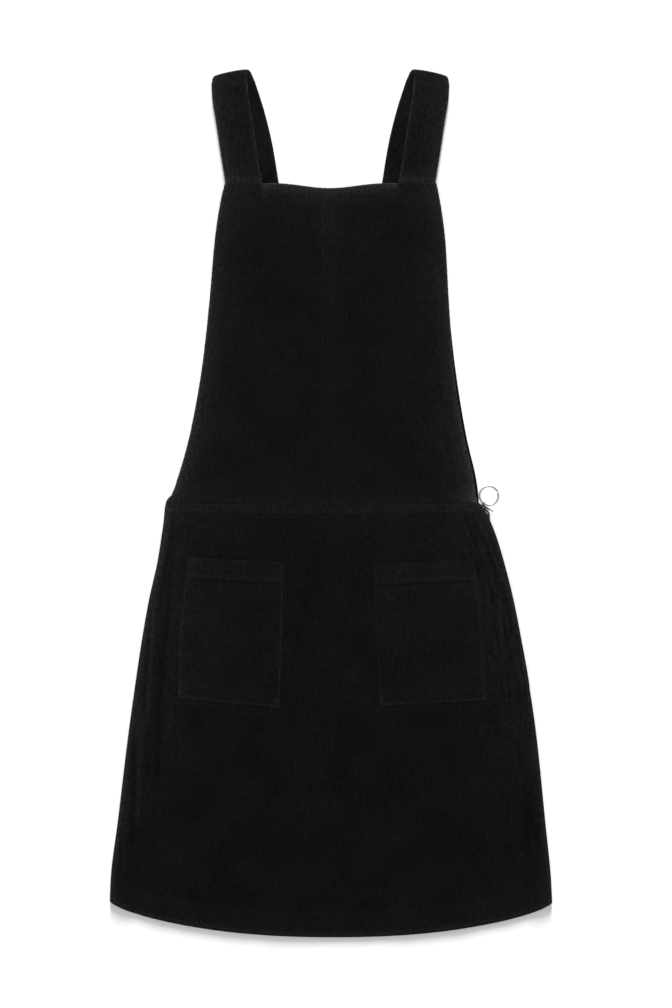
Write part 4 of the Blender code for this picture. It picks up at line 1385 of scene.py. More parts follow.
@dataclass
class SkirtFront(Piece):
    """The skirt's front panel, rolled over at both side seams, with its waist and hem topstitching."""

    side_step: float = 1.35 * MM
    side_reach: float = 50 * MM
    middle_columns: int = 200
    roll_steps: int = 11
    join_at: float = 13 * MM
    join_steps: int = 6
    side_rim: float = 0.75 * MM
    rim_reach: float = 1.6 * MM
    # Painted light: a highlight with some wear along the rims, lighter crests and darker troughs of
    # creases and puckers, a lift under the pockets' feet, which shade the skirt, and a lighter waist band.
    rim_light_and_wear: Quad = (0.10, 0.10, 0, 0.12)
    crest: Triple = (0.8 * MM, -0.6, 0.11)
    pucker: Triple = (0.3 * MM, -0.5, 0.09)
    foot_line: Triple = (-216 * MM, 53 * MM, 0.075)
    foot_inner: Pair = mm(44, 50)
    foot_outer: Pair = mm(158, 168)
    foot_light: float = 0.024
    foot_reach: float = 6 * MM
    band_rise: Pair = mm(-0.2, 1.5)
    band_fall: Pair = mm(8.6, 9.6)
    band_light: float = 0.01
    waist_line: tuple[float, int] = (0.985, 260)
    hem_line: tuple[float, int] = (0.93, 300)
    flat: Pair = (0.500, 0.460)
    area: float = 0.176

    def rows(self) -> Array:
        """Heights down the side seam, closer at the stitch rows and rims."""
        f = self.form
        fold = f.hem_corner - f.hem_band
        stretches = (
            (f.waist_band + 2 * MM, 0.62 * MM),
            (fold - 1.6 * MM, 2.2 * MM),
            (fold + 10 * MM, 0.72 * MM),
            (f.hem_corner - f.hem_rim, 1.6 * MM),
        )
        return -rows_between(0, f.hem_corner, (f.seam_rim, f.hem_rim), *stretches)

    def surface(self) -> tuple[Array, dict[str, Array]]:
        """Outer face on the grid, with the ways in from both sides and up from the waist and hem."""
        f, steps = self.form, self.roll_steps
        y_edge = self.rows()
        left_x, right_x = (edge[:, None] for edge in f.skirt_sides(y_edge))
        inset = run(self.join_at, self.side_reach, self.side_step) * np.ones_like(left_x)
        spare = np.linspace(0, 1, self.join_steps + 1)[None, 1:]
        insets, shares, rims = [], [], []
        for table in (LEFT_EDGE, RIGHT_EDGE):
            rim = f.rim_height(table, "front", y_edge)
            fall = f.level + column(table, "hump", y_edge) - rim
            roll, share = f.roll_columns(table, y_edge, np.abs(fall), steps)
            insets.append(np.hstack([roll, roll[:, -1:] * (1 - spare) + self.join_at * spare, inset]))
            shares.append(share)
            rims.append(rim[:, None])
        x = spanned(left_x + insets[0], right_x - insets[1][:, ::-1], self.middle_columns)
        share = share_across(x, left_x[:, 0], right_x[:, 0])
        y = f.skirt_y(y_edge, share)
        from_left, from_right = x - left_x, right_x - x
        from_waist, from_hem = y - f.waist_y(share), y - f.hem_y(share)
        z = f.skirt_level(x, y, from_left, from_right) + f.skirt_bands(from_waist, from_hem, share)
        rolls = ((z[:, :steps], rims[0], shares[0]), (z[:, -steps:], rims[1], shares[1][:, ::-1]))
        for part, rim, reached in rolls:
            part[:] = rim + (part - rim) * reached
        ways = {"left": from_left, "right": from_right, "waist": from_waist, "hem": from_hem}
        return points_at(x, y, z), ways

    def light_on_folds(self, outer: Array, ways: dict[str, Array]) -> Array:
        """Painted light: crests of creases and puckers lighter and their troughs darker, sheen at the
        edges, and lifts where seams, the hem and the pockets shade the cloth.

        Args:
            outer, ways: the panel's outer face, and how far each place is from the edges.

        Returns:
            The share of painted light at each place.
        """
        f = self.form
        x, y = outer[..., 0], outer[..., 1]
        painted_light = np.zeros_like(x)
        folds = ((f.crease_sum(x, y, 1.0), self.crest), (f.zip_puckers(ways["right"], y), self.pucker))
        for rise, (height, least, light) in folds:
            painted_light += light * np.clip(rise / height, least, 1)
        painted_light += painted_light_and_wear(SKIRT_LIGHT, {**ways, "waist": np.abs(ways["waist"] + f.waist_band), "y": y}, y)
        # painted light under the pockets' feet, lifting the shade that they cast on the skirt
        foot_y, foot_x, slope = self.foot_line
        below_foot = foot_y + slope * (np.abs(x) - foot_x) - y
        under = window(self.foot_inner, self.foot_outer, np.abs(x))
        painted_light += self.foot_light * under * bell(below_foot, self.foot_reach)
        return np.clip(painted_light, 0, 1)

    def build(self, finishes: Finishes) -> None:
        """Makes the panel and its stitching."""
        f = self.form
        outer, ways = self.surface()
        band = window(self.band_rise, self.band_fall, -ways["waist"])
        # painted light, with the waist band a little lighter
        painted_light = self.light_on_folds(outer, ways) + self.band_light * band
        rims = Rims(self.side_rim, self.side_rim, f.seam_rim, f.hem_rim)
        shares = {"painted_light": painted_light, "band": band, "rim_reach": self.rim_reach, "rim_light_and_wear": self.rim_light_and_wear}
        sheet = ClothSheet("skirt_front_panel", outer, f.cloth, rims, **shares)
        stitches = ("skirt_topstitch", self.stitch_rows(), finishes.thread)
        self.lay(sheet, finishes.panel, "skirt_front", "skirt_back", self.flat, self.area, stitches)

    def stitch_rows(self) -> list[StitchRow]:
        """Two rows at the waist and two at the hem, following those edges."""
        f = self.form
        lines = []
        share = np.linspace(-self.waist_line[0], self.waist_line[0], self.waist_line[1])
        for inset in f.waist_rows:
            lines.append((share, -inset, f.waist_y(share) - inset))
        share = np.linspace(-self.hem_line[0], self.hem_line[0], self.hem_line[1])
        for inset in f.hem_rows:
            lines.append((share, inset - f.hem_corner, f.hem_y(share) + inset - f.hem_narrow * share**2))
        paths = []
        for share, y_edge, y in lines:
            low, high = f.skirt_sides(np.array(y_edge))
            x = low + (high - low) * (share + 1) / 2
            paths.append(points_at(x, y, f.skirt_top(x, y)))
        return [flat_row(path) for path in paths]


@dataclass
class SkirtBack(Piece):
    """The skirt's back panel, flat on the surface and turned up at the side seams."""

    row_step: float = 5 * MM
    middle_columns: int = 60
    roll_steps: int = 8
    # painted highlight with some wear along the side and hem rims
    rim_light_and_wear: Quad = (0.10, 0.10, 0, 0.35)
    flat: Pair = (0.480, 0.460)
    area: float = 0.172

    def surface(self) -> Array:
        """Underside on the grid."""
        f = self.form
        rims = (f.seam_rim, f.hem_rim)
        y_edge = -rows_between(0, f.hem_corner, rims, (f.hem_corner - f.hem_rim, self.row_step))
        left_x = column(SKIRT_OUTLINE, "left", y_edge)
        right_x = column(SKIRT_OUTLINE, "back_right", y_edge)
        parts = []
        for table in (LEFT_EDGE, RIGHT_EDGE):
            rise = f.rim_height(table, "back", y_edge)
            inset, share = f.roll_columns(table, y_edge, rise, self.roll_steps)
            parts.append((inset, rise[:, None] * (1 - share)))
        (left_in, left_z), (right_in, right_z) = parts
        right = (right_x[:, None] - right_in)[:, ::-1]
        x = spanned(left_x[:, None] + left_in, right, self.middle_columns)
        z = spanned(left_z, right_z[:, ::-1], self.middle_columns)
        return points_at(x, f.skirt_y(y_edge, share_across(x, left_x, right_x)), z)

    def build(self, finishes: Finishes) -> None:
        """Makes the panel."""
        f = self.form
        rims = Rims(f.seam_rim, f.seam_rim, f.seam_rim, f.hem_rim)
        sheet = ClothSheet("skirt_back_panel", self.surface(), f.cloth, rims, False, rim_light_and_wear=self.rim_light_and_wear)
        self.lay(sheet, finishes.panel, "skirt_back", "floor", self.flat, self.area)


@dataclass
class BibFront(Piece):
    """One half of the front bib, joined to the other at the centre seam."""

    side: Side
    allowance: float
    flat: Pair
    area: float
    # edge_sheen_and_wear: painted highlight with some wear along the free side's rim; lighter and darker:
    # a lighter and a darker patch, fading in from the free side
    edge_sheen_and_wear: float
    lighter: float = 0
    darker: float = 0
    step: float = 2.5 * MM
    near_top: float = 12 * MM
    free_rim: float = 1.2 * MM
    seam_rim: float = 0.5 * MM
    rim_reach: float = 2 * MM
    edge_row: float = 5.4 * MM
    top_row: float = 2.6 * MM
    row_in: float = 0.8 * MM
    ripple_in: float = 10 * MM
    seam_share: float = 0.7
    seam_fall: Pair = mm(-0.4, 2)
    seam_groove: float = 0.16 * MM
    tuck: Pair = mm(0.25, 0.9)
    lift_sway: Triple = mm(0.14, 5.3, 7)
    side_sway: Pair = mm(0.16, 6.1)
    top_sway: Pair = mm(0.12, 5.7)
    strap_edge: Pair = mm(66, 76)
    lighter_at: Pair = mm(155, 35)
    darker_span: Pair = mm(215, 250)
    patch_in: float = 12 * MM

    def seam_x(self) -> float:
        """x of this half's edge at the centre seam."""
        return self.form.centre_x + self.side.inward * self.form.press / 2

    def height(self, x: Array, y: Array, inset: Array) -> Array:
        """Top of the bib: the front's, with a rise at the centre seam and grooves at its stitch rows."""
        f = self.form
        z = f.front_level(x, y) + waves(RIPPLES, x, y) * smooth(0, self.ripple_in, inset)
        in_seam = np.abs(x - self.seam_x()) - self.allowance
        z = z + self.seam_share * f.seam_rise * (1 - smooth(*self.seam_fall, in_seam))
        z = z - self.seam_groove * bell(in_seam + self.row_in, f.groove_reach)
        z = z - self.tuck[0] * bell(inset - self.edge_row, self.tuck[1])
        height, pitch, reach = self.lift_sway
        return z + height * wander(y, pitch, 0.4) * (1 - smooth(0, reach, inset))

    def surface(self) -> Arrays:
        """Outer face on the grid, with the insets from the free side."""
        f = self.form
        inward, high = self.side.inward, f.bib_top
        stretches = ((high - self.near_top, self.step), (high - self.free_rim, 1.1 * MM))
        y_edge = rows_between(-f.press / 2, high, (f.seam_rim, self.free_rim), *stretches)
        sway, pitch = self.side_sway
        edge = (column(BIB_OUTLINE, self.side.value, y_edge) + sway * wander(y_edge, pitch, 1.9))[:, None]
        seam_in = rim_run(self.seam_rim, self.allowance + 2 * MM, 0.7 * MM, 4)
        outer_x = edge + inward * rim_run(self.free_rim, 9 * MM, 0.8 * MM)
        seam_x = (self.seam_x() - inward * seam_in)[None, ::-1] * np.ones_like(edge)
        x = spanned(outer_x, seam_x, int((np.abs(outer_x[:, -1] - seam_x[:, 0])).mean() / self.step))
        share = (x - f.centre_x) / np.abs(edge - f.centre_x)
        rise = f.bib_rise(y_edge, high)
        y = f.bib_y(rise, share, f.bib_top_y(share))
        y += self.top_sway[0] * wander(x, self.top_sway[1], 2.3) * smooth(0.95, 1, rise)
        inset = inward * (x - edge)
        return points_at(x, y, self.height(x, y, inset)), inset

    def build(self, finishes: Finishes) -> None:
        """Makes the half and its stitching."""
        f = self.form
        outer, inset = self.surface()
        x, y = outer[..., 0], outer[..., 1]
        aside, seam_in = np.abs(x - f.centre_x), np.abs(x - self.seam_x())
        down = f.bib_top_y(aside / (aside + inset)) - y
        ways = {"side": inset, "top": down, "waist": y, "seam": seam_in}
        ways["seam_fold"] = seam_in - self.allowance
        between = 1 - smooth(*self.strap_edge, aside)
        # Painted light on the bib: sheen and lifts from the tables, the top edge lighter between the
        # straps and darker over them, and the two patches.
        painted_light = painted_light_and_wear(BIB_LIGHT, ways, y) + between * painted_light_and_wear(BETWEEN_STRAPS, ways, y)
        painted_light += (1 - between) * painted_light_and_wear(UNDER_STRAPS, ways, y)
        spot = self.lighter * bell(y - self.lighter_at[0], self.lighter_at[1])
        painted_light += (spot - self.darker * smooth(*self.darker_span, y)) * decay(inset, self.patch_in)
        rims = Rims(self.free_rim, self.seam_rim, f.seam_rim, self.free_rim)
        node = f"bib_front_{self.side.value}"
        shares = {"painted_light": painted_light, "ladder": painted_light_and_wear(BIB_TICKS, ways, y), "rim_reach": self.rim_reach}
        # painted highlight with some wear along the free side only
        rim_light_and_wear = (self.edge_sheen_and_wear, 0, 0, 0)
        sheet = ClothSheet(node + "_half", outer, f.cloth, rims, rim_light_and_wear=rim_light_and_wear, **shares)
        stitches = (node + "_topstitch", self.stitch_rows(), finishes.thread)
        self.lay(sheet, finishes.bib, node, "bib_back", self.flat, self.area, stitches)

    def stitch_rows(self) -> list[StitchRow]:
        """A row beside the centre seam, one inside the free side and one under the top edge."""
        f, inward = self.form, self.side.inward
        y = np.linspace(2 * MM, f.bib_top - 7 * MM, 240)
        edge_x = column(BIB_OUTLINE, self.side.value, y)
        seam_x = np.full_like(y, self.seam_x() - inward * (self.allowance - self.row_in))
        paths = []
        for x in (seam_x, edge_x + inward * self.edge_row):
            paths.append(points_at(x, y, self.height(x, y, inward * (x - edge_x))))
        top_x = column(BIB_OUTLINE, self.side.value, np.array([f.bib_top]))[0]
        x = np.linspace(top_x + inward * self.edge_row, self.seam_x() - inward * 1.5 * MM, 90)
        y = f.bib_top_y((x - f.centre_x) / abs(top_x - f.centre_x)) - self.top_row
        paths.append(points_at(x, y, self.height(x, y, np.full_like(x, 20 * MM))))
        return [flat_row(path) for path in paths]


@dataclass
class BibBack(Piece):
    """The back bib, flat on the surface and mostly hidden under the front."""

    row_step: float = 4.5 * MM
    middle_columns: int = 60
    free_rim: float = 1 * MM
    left_in: Pair = mm(1, 3)
    left_span: Pair = mm(100, 200)
    # painted highlight with some wear along the side and top rims
    rim_light_and_wear: Quad = (0.1, 0.1, 0, 0.1)
    flat: Pair = (0.330, 0.315)
    area: float = 0.083

    def build(self, finishes: Finishes) -> None:
        """Makes the panel."""
        f = self.form
        high, rim = f.back_top, self.free_rim
        y_edge = rows_between(-f.press / 2, high, (f.seam_rim, rim), (high - rim, self.row_step))
        left = column(BIB_OUTLINE, "left", y_edge) + self.left_in[0]
        left += self.left_in[1] * (1 - smooth(*self.left_span, y_edge))
        right = column(BIB_OUTLINE, "back_right", y_edge)
        inset = rim_steps(rim)
        x = spanned(left[:, None] + inset, (right[:, None] - inset)[:, ::-1], self.middle_columns)
        y = f.bib_y(f.bib_rise(y_edge, high), share_across(x, left, right), high)
        outer, rims = points_at(x, y, np.zeros_like(x)), Rims(rim, rim, f.seam_rim, rim)
        sheet = ClothSheet("bib_back_panel", outer, f.cloth, rims, False, rim_light_and_wear=self.rim_light_and_wear)
        self.lay(sheet, finishes.bib, "bib_back", "floor", self.flat, self.area)


@dataclass
class Strap(Piece):
    """A shoulder strap: up the front, over the fold and down to the back bib."""

    side: Side
    # outer_sheen_and_wear: painted sheen with some wear, fading in from the outer side over outer_reach
    outer_sheen_and_wear: float = 0.18
    width: float = 38 * MM
    band: float = 2.2 * MM
    fold: Triple = (-104.9 * MM, 451.3 * MM, 11.4)
    bend: float = 2.6 * MM
    bend_rows: int = 15
    drift: float = 3 * MM
    bow: Pair = mm(1.7, 34)
    slack: Triple = (0.16 * MM, 31 * MM, 0.3)
    side_rim: float = 1.1 * MM
    end_rim: float = 1 * MM
    end_step: float = 2.2 * MM
    row_inset: float = 2.6 * MM
    row_groove: float = 0.22 * MM
    bar_y: float = 340.5 * MM
    bar_stitch: Pair = mm(1.9, 0.9)
    # painted highlight with some wear along its sides and ends
    rim_light_and_wear: Quad = (0.10, 0.22, 0.2, 0.2)
    outer_reach: float = 6 * MM
    flat: Pair = (0.038, 0.282)

    def fold_axes(self) -> tuple[Array, Array, Array]:
        """Directions out of the fold and across it, and the point that the cloth turns about."""
        tilt = math.radians(self.fold[2])
        out = np.array([-math.sin(tilt), math.cos(tilt)])
        return out, np.array([math.cos(tilt), math.sin(tilt)]), np.array(self.fold[:2]) - self.bend * out

    def centre_line(self) -> Array:
        """Rows of x, y, z and tilt along the strap's outer face. It drifts sideways over the fold."""
        out, sideways, pivot = self.fold_axes()
        runs = []
        for table, count, z in ((STRAP_FRONT, 58, 2 * self.bend), (STRAP_BACK, 60, 0)):
            y = np.linspace(table[0].y, table[-1].y, count) * MM
            turned = np.radians(column(table, "tilt", y, 1.0))
            runs.append(np.stack([column(table, "x", y), y, np.full(count, z), turned], axis=-1))
        turn = np.linspace(0, np.pi, self.bend_rows)
        plan = pivot + self.bend * np.sin(turn)[:, None] * out
        plan = plan + self.drift * (turn / np.pi - 0.5)[:, None] * sideways
        tilt = np.full(self.bend_rows, math.radians(self.fold[2]))
        over = np.stack([plan[:, 0], plan[:, 1], self.bend * (1 + np.cos(turn)), tilt], axis=-1)
        line = np.concatenate([runs[0], over, runs[1]])
        steps = rim_steps(self.end_rim)[1:-1] / self.end_step
        lead = line[:1] + (line[1:2] - line[:1]) * steps[:, None]
        tail = line[-1:] + (line[-2:-1] - line[-1:]) * steps[::-1, None]
        return np.concatenate([line[:1], lead, line[1:-1], tail, line[-1:]])

    def mirrored(self, x: Array) -> Array:
        """x of a place on this strap, where the left one has x."""
        return x if self.side is Side.LEFT else 2 * self.form.strap_mirror - x

    def at(self, across: Array) -> Array:
        """Outer face at places across the strap, which run from minus to plus half the width.

        Its end bows out by one minus the cube of the way across.
        """
        line_x, line_y, line_z, tilt = self.centre_line().T[..., None]
        out, _, pivot = self.fold_axes()
        share = np.abs(across) / (self.width / 2)
        bow = self.bow[0] * smooth(pivot[1] - self.bow[1], pivot[1], line_y) * (1 - share**3)
        x = line_x + across * np.cos(tilt) + bow * out[0]
        y = line_y + across * np.sin(tilt) + bow * out[1]
        height, pitch, slant = self.slack
        slack = height * wander(line_y + across * slant, pitch, 0.6)
        inset = self.width / 2 - np.abs(across)
        groove = self.row_groove * bell(inset - self.row_inset, self.form.groove_reach)
        up = np.where(line_z > self.bend, 1, -1)
        z = line_z + up * (slack - groove) * smooth(self.bend, 1.9 * self.bend, line_z)
        return points_at(self.mirrored(x), y, z)

    def build(self, finishes: Finishes) -> None:
        """Makes the strap and its stitches."""
        half = self.width / 2
        edge = rim_run(self.side_rim, 5 * MM, 0.8 * MM)
        middle = np.linspace(-half + edge[-1], half - edge[-1], 15)[1:-1]
        across = np.concatenate([-half + edge, middle, (half - edge)[::-1]])[None, :]
        outer = self.at(across)
        y = outer[..., 1]
        over = smooth(0.3 * self.bend, 1.6 * self.bend, outer[..., 2])
        fold_in = y - self.fold_axes()[2][1]
        ways = {"bar": y - self.bar_y, "fold": fold_in, "inner": half - across}
        ways["edge"] = half - np.abs(across)
        # Painted light on the front run: the lighter outer side, a little everywhere, and the table's
        # lifts around the bar and just above the bib's edge, where the bib shades the strap.
        rim_light_and_wear = self.outer_sheen_and_wear * decay(half + across, self.outer_reach)
        painted_light = 0.02 + painted_light_and_wear(STRAP_LIGHT, ways, y) + rim_light_and_wear
        rims = Rims(self.side_rim, self.side_rim, self.end_rim, self.end_rim)
        node = f"strap_{self.side.value}"
        shares = {"painted_light": painted_light * over, "ladder": painted_light_and_wear(STRAP_TICKS, ways, y) * over, "rim_light_and_wear": self.rim_light_and_wear}
        sheet = ClothSheet(node + "_band", outer, self.band, rims, inner_every=1, **shares)
        stitches = (node + "_topstitch", self.stitch_rows(sheet), finishes.thread)
        self.lay(sheet, finishes.strap, node, "floor", self.flat, stitches=stitches, held="folded")

    def stitch_rows(self, sheet: ClothSheet) -> list[StitchRow]:
        """Rows along both edges, on the front run and on the inside of the back run, and the bar."""
        facing = sheet.normals()[:, sheet.outer.shape[1] // 2]
        back = np.argmax(facing[:, 2] < -0.9)
        rows = []
        for place in (-self.width / 2 + self.row_inset, self.width / 2 - self.row_inset):
            path = self.at(np.array([[place]]))[:, 0]
            rows.append(StitchRow(path[3:back], facing[3:back]))
            inside = path[back:-3] - facing[back:-3] * self.band
            rows.append(StitchRow(inside, -facing[back:-3]))
        return rows + [self.bar()]

    def bar(self) -> StitchRow:
        """A row of stitches straight across the strap, just above the bib."""
        at = np.array(self.bar_y)
        tilt = math.radians(float(column(STRAP_FRONT, "tilt", at, 1.0)))
        across = np.linspace(-1, 1, 40) * (self.width / 2 - self.row_inset)
        x = self.mirrored(column(STRAP_FRONT, "x", at) + across * math.cos(tilt))
        path = points_at(x, self.bar_y + across * math.sin(tilt), np.full_like(x, 2 * self.bend))
        return flat_row(path, *self.bar_stitch)


@dataclass
class PatchPocket(Piece):
    """A patch pocket with a turned hem, sewn down along three sides with its mouth a little open.

    Its corners are in millimetres, from left to right at the top and then the bottom, as are its bows.
    """

    side: Side
    corners: tuple[Pair, ...]
    bows: Pair
    flat: Pair
    # side_sheen_and_wear: painted highlight with some wear on the left and right rims; side_painted_light:
    # painted light fading in from the left and right sides
    side_sheen_and_wear: Pair
    side_painted_light: Pair
    puff: float = 0.7 * MM
    puff_power: float = 0.7
    gape: float = 1 * MM
    gape_share: float = 0.3
    hem_share: float = 0.15
    hem_rise: float = 0.7 * MM
    hem_rows: Pair = mm(-0.9, -5.2)
    hem_groove: float = 0.16 * MM
    edge_row: float = 2 * MM
    edge_groove: float = 0.10 * MM
    groove_reach: float = 0.7 * MM
    edge_sway: float = 0.15 * MM
    edge_lift: float = 0.12 * MM
    sway_pitch: Pair = mm(4.7, 5.1)
    sway_in: float = 4 * MM
    sewn_span: Pair = mm(0.4, 13)
    sewn_drop: float = 1.42 * MM
    foot_drop: float = 1.8 * MM
    mouth_drop: float = 0.9 * MM
    rims: Rims = Rims(*mm(2, 2, 1.2, 1.8))
    rim_reach: float = 1.7 * MM
    # foot_sheen_and_wear: painted highlight with some wear on the foot's rim; mouth_light: painted light
    # over the turned hem under the mouth
    foot_sheen_and_wear: float = 0.10
    mouth_span: Pair = (0.35, 0.12)
    mouth_light: float = 0.033
    side_reach: float = 20 * MM

    def size(self) -> Pair:
        """Its width along the mouth and its height down the left side."""
        top_left, top_right, bottom_left, _ = np.array(self.corners) * MM
        return np.linalg.norm(top_right - top_left), np.linalg.norm(bottom_left - top_left)

    def at(self, across: Array, down: Array) -> Array:
        """Outer face where across and down run from 0 to 1 over the pocket."""
        across, down = np.broadcast_arrays(across, down)
        s, t = across[..., None], down[..., None]
        top_left, top_right, bottom_left, bottom_right = np.array(self.corners) * MM
        top, bottom = top_left * (1 - s) + top_right * s, bottom_left * (1 - s) + bottom_right * s
        plan = top * (1 - t) + bottom * t
        bow_left, bow_right = self.bows
        bow = np.sin(np.pi * down) * (bow_right * across - bow_left * (1 - across)) * MM
        wide, tall = self.size()
        side_in, foot_in = np.minimum(across, 1 - across) * wide, (1 - down) * tall
        edge_in = np.minimum(side_in, foot_in)
        wave = wander(down * tall + 0.4 * across * wide, self.sway_pitch[0], 0.8 + bow_left)
        foot_wave = wander(across * wide, self.sway_pitch[1], 1.9 + bow_left)
        side_sway = self.edge_sway * wave * (1 - smooth(0, self.sway_in, side_in)) * np.sign(across - 0.5)
        foot_sway = self.edge_sway * foot_wave * (1 - smooth(0, self.sway_in, foot_in))
        x = plan[..., 0] + bow + side_sway
        y = plan[..., 1] - foot_sway - self.foot_drop * down**8 - self.mouth_drop * (1 - down) ** 8
        crown = np.sin(np.pi * across) ** self.puff_power
        puff = self.puff * crown * np.sin(np.pi * down) ** self.puff_power
        gape = self.gape * crown * (1 - smooth(0, self.gape_share, down))
        turned = 1 - smooth(self.hem_share, self.hem_share * 1.08, down)
        hem = self.hem_rise * turned * (0.5 + 0.5 * crown)
        sewn = 1 - smooth(*self.sewn_span, edge_in)
        z = self.form.skirt_top(x, y) + self.form.lay + self.form.cloth + puff + gape + hem
        z = z + sewn * (self.edge_lift * np.where(side_in < foot_in, wave, foot_wave) - self.sewn_drop)
        z = z - self.edge_groove * bell(edge_in - self.edge_row, self.groove_reach)
        for row in self.hem_rows:
            z = z - self.hem_groove * bell((down - self.hem_share) * tall - row, self.groove_reach)
        return points_at(x, y, z)

    def places(self, size: float, step: float) -> Array:
        """Shares of a length, close together over both rims."""
        near = rim_run(1 * MM, 5 * MM, 0.75 * MM)
        middle = run(near[-1], size - near[-1], step)[:-1]
        return np.concatenate([near, middle, (size - near)[::-1]]) / size

    def build(self, finishes: Finishes) -> None:
        """Makes the pocket and its stitching."""
        wide, tall = self.size()
        across, down = self.places(wide, 1.7 * MM)[None, :], self.places(tall, 1.25 * MM)[:, None]
        foot_in, hem_in = (1 - down) * tall, np.abs((down - self.hem_share) * tall + 3 * MM)
        side_in = np.minimum(across, 1 - across) * wide
        ways = {"foot": foot_in, "mouth": down * tall, "hem": hem_in, "side": side_in}
        shares = {"band": painted_light_and_wear(POCKET_BAND, ways, down), "ladder": painted_light_and_wear(POCKET_LADDER, ways, across)}
        # Painted light on the pocket: lifts and painted shade from the table, the lighter turned hem, and
        # lighter sides.
        painted_light = painted_light_and_wear(POCKET_LIGHT, ways, down)
        painted_light = painted_light + self.mouth_light * smooth(*self.mouth_span, down)
        for share, inset in zip(self.side_painted_light, (across * wide, (1 - across) * wide)):
            painted_light = painted_light + share * decay(inset, self.side_reach)
        # painted highlight with some wear along the sides' and foot's rims
        node, rim_light_and_wear = f"pocket_{self.side.value}", (*self.side_sheen_and_wear, 0.0, self.foot_sheen_and_wear)
        shares |= {"painted_light": painted_light, "rim_reach": self.rim_reach, "rim_light_and_wear": rim_light_and_wear}
        sheet = ClothSheet(node + "_patch", self.at(across, down), self.form.cloth, self.rims, **shares)
        stitches = (node + "_topstitch", self.stitch_rows(wide, tall), finishes.thread)
        self.lay(sheet, finishes.pocket, node, "skirt_front_panel", self.flat, stitches=stitches)

    def stitch_rows(self, wide: float, tall: float) -> list[StitchRow]:
        """One row along the three sewn sides, and two across the turned hem."""
        inset_x, inset_y = self.edge_row / wide, self.edge_row / tall
        down = np.linspace(0.006, 1 - inset_y, 110)
        across = np.linspace(inset_x, 1 - inset_x, 80)
        paths = [self.at(np.full_like(down, side), down) for side in (inset_x, 1 - inset_x)]
        for row in (1 - inset_y, *(self.hem_share + row / tall for row in self.hem_rows)):
            paths.append(self.at(across, np.full_like(across, row)))
        return [flat_row(path) for path in paths]


# ---- Zip ----


class Slab(NamedTuple):
    """A rounded block of the slider: two opposite corners, in millimetres along it, out of it and up.

    power is how square it is, from 1, round, towards 0. narrow is the share of its height that it loses.
    """

    low: Triple
    high: Triple
    power: float
    narrow: float = 0


SLIDER = rows_of(
    Slab,
    ((0, -1, 0.5), (15.2, 0, 7.7), 0.30, 0.22),
    ((0.2, -6, 0.7), (9.5, -5, 7.5), 0.30, 0.12),
    # the neck runs on to 6.8 mm, where the teeth start, so its dark metal covers the floor between the
    # plates, where the slider would cast shade
    ((0.9, -5.7, 2.6), (6.8, -0.3, 5.6), 0.5),
    ((6.2, -2, 0.55), (10.6, -0.4, 1.35), 0.28),
    ((6.2, -2, 6.85), (10.6, -0.4, 7.65), 0.28),
)


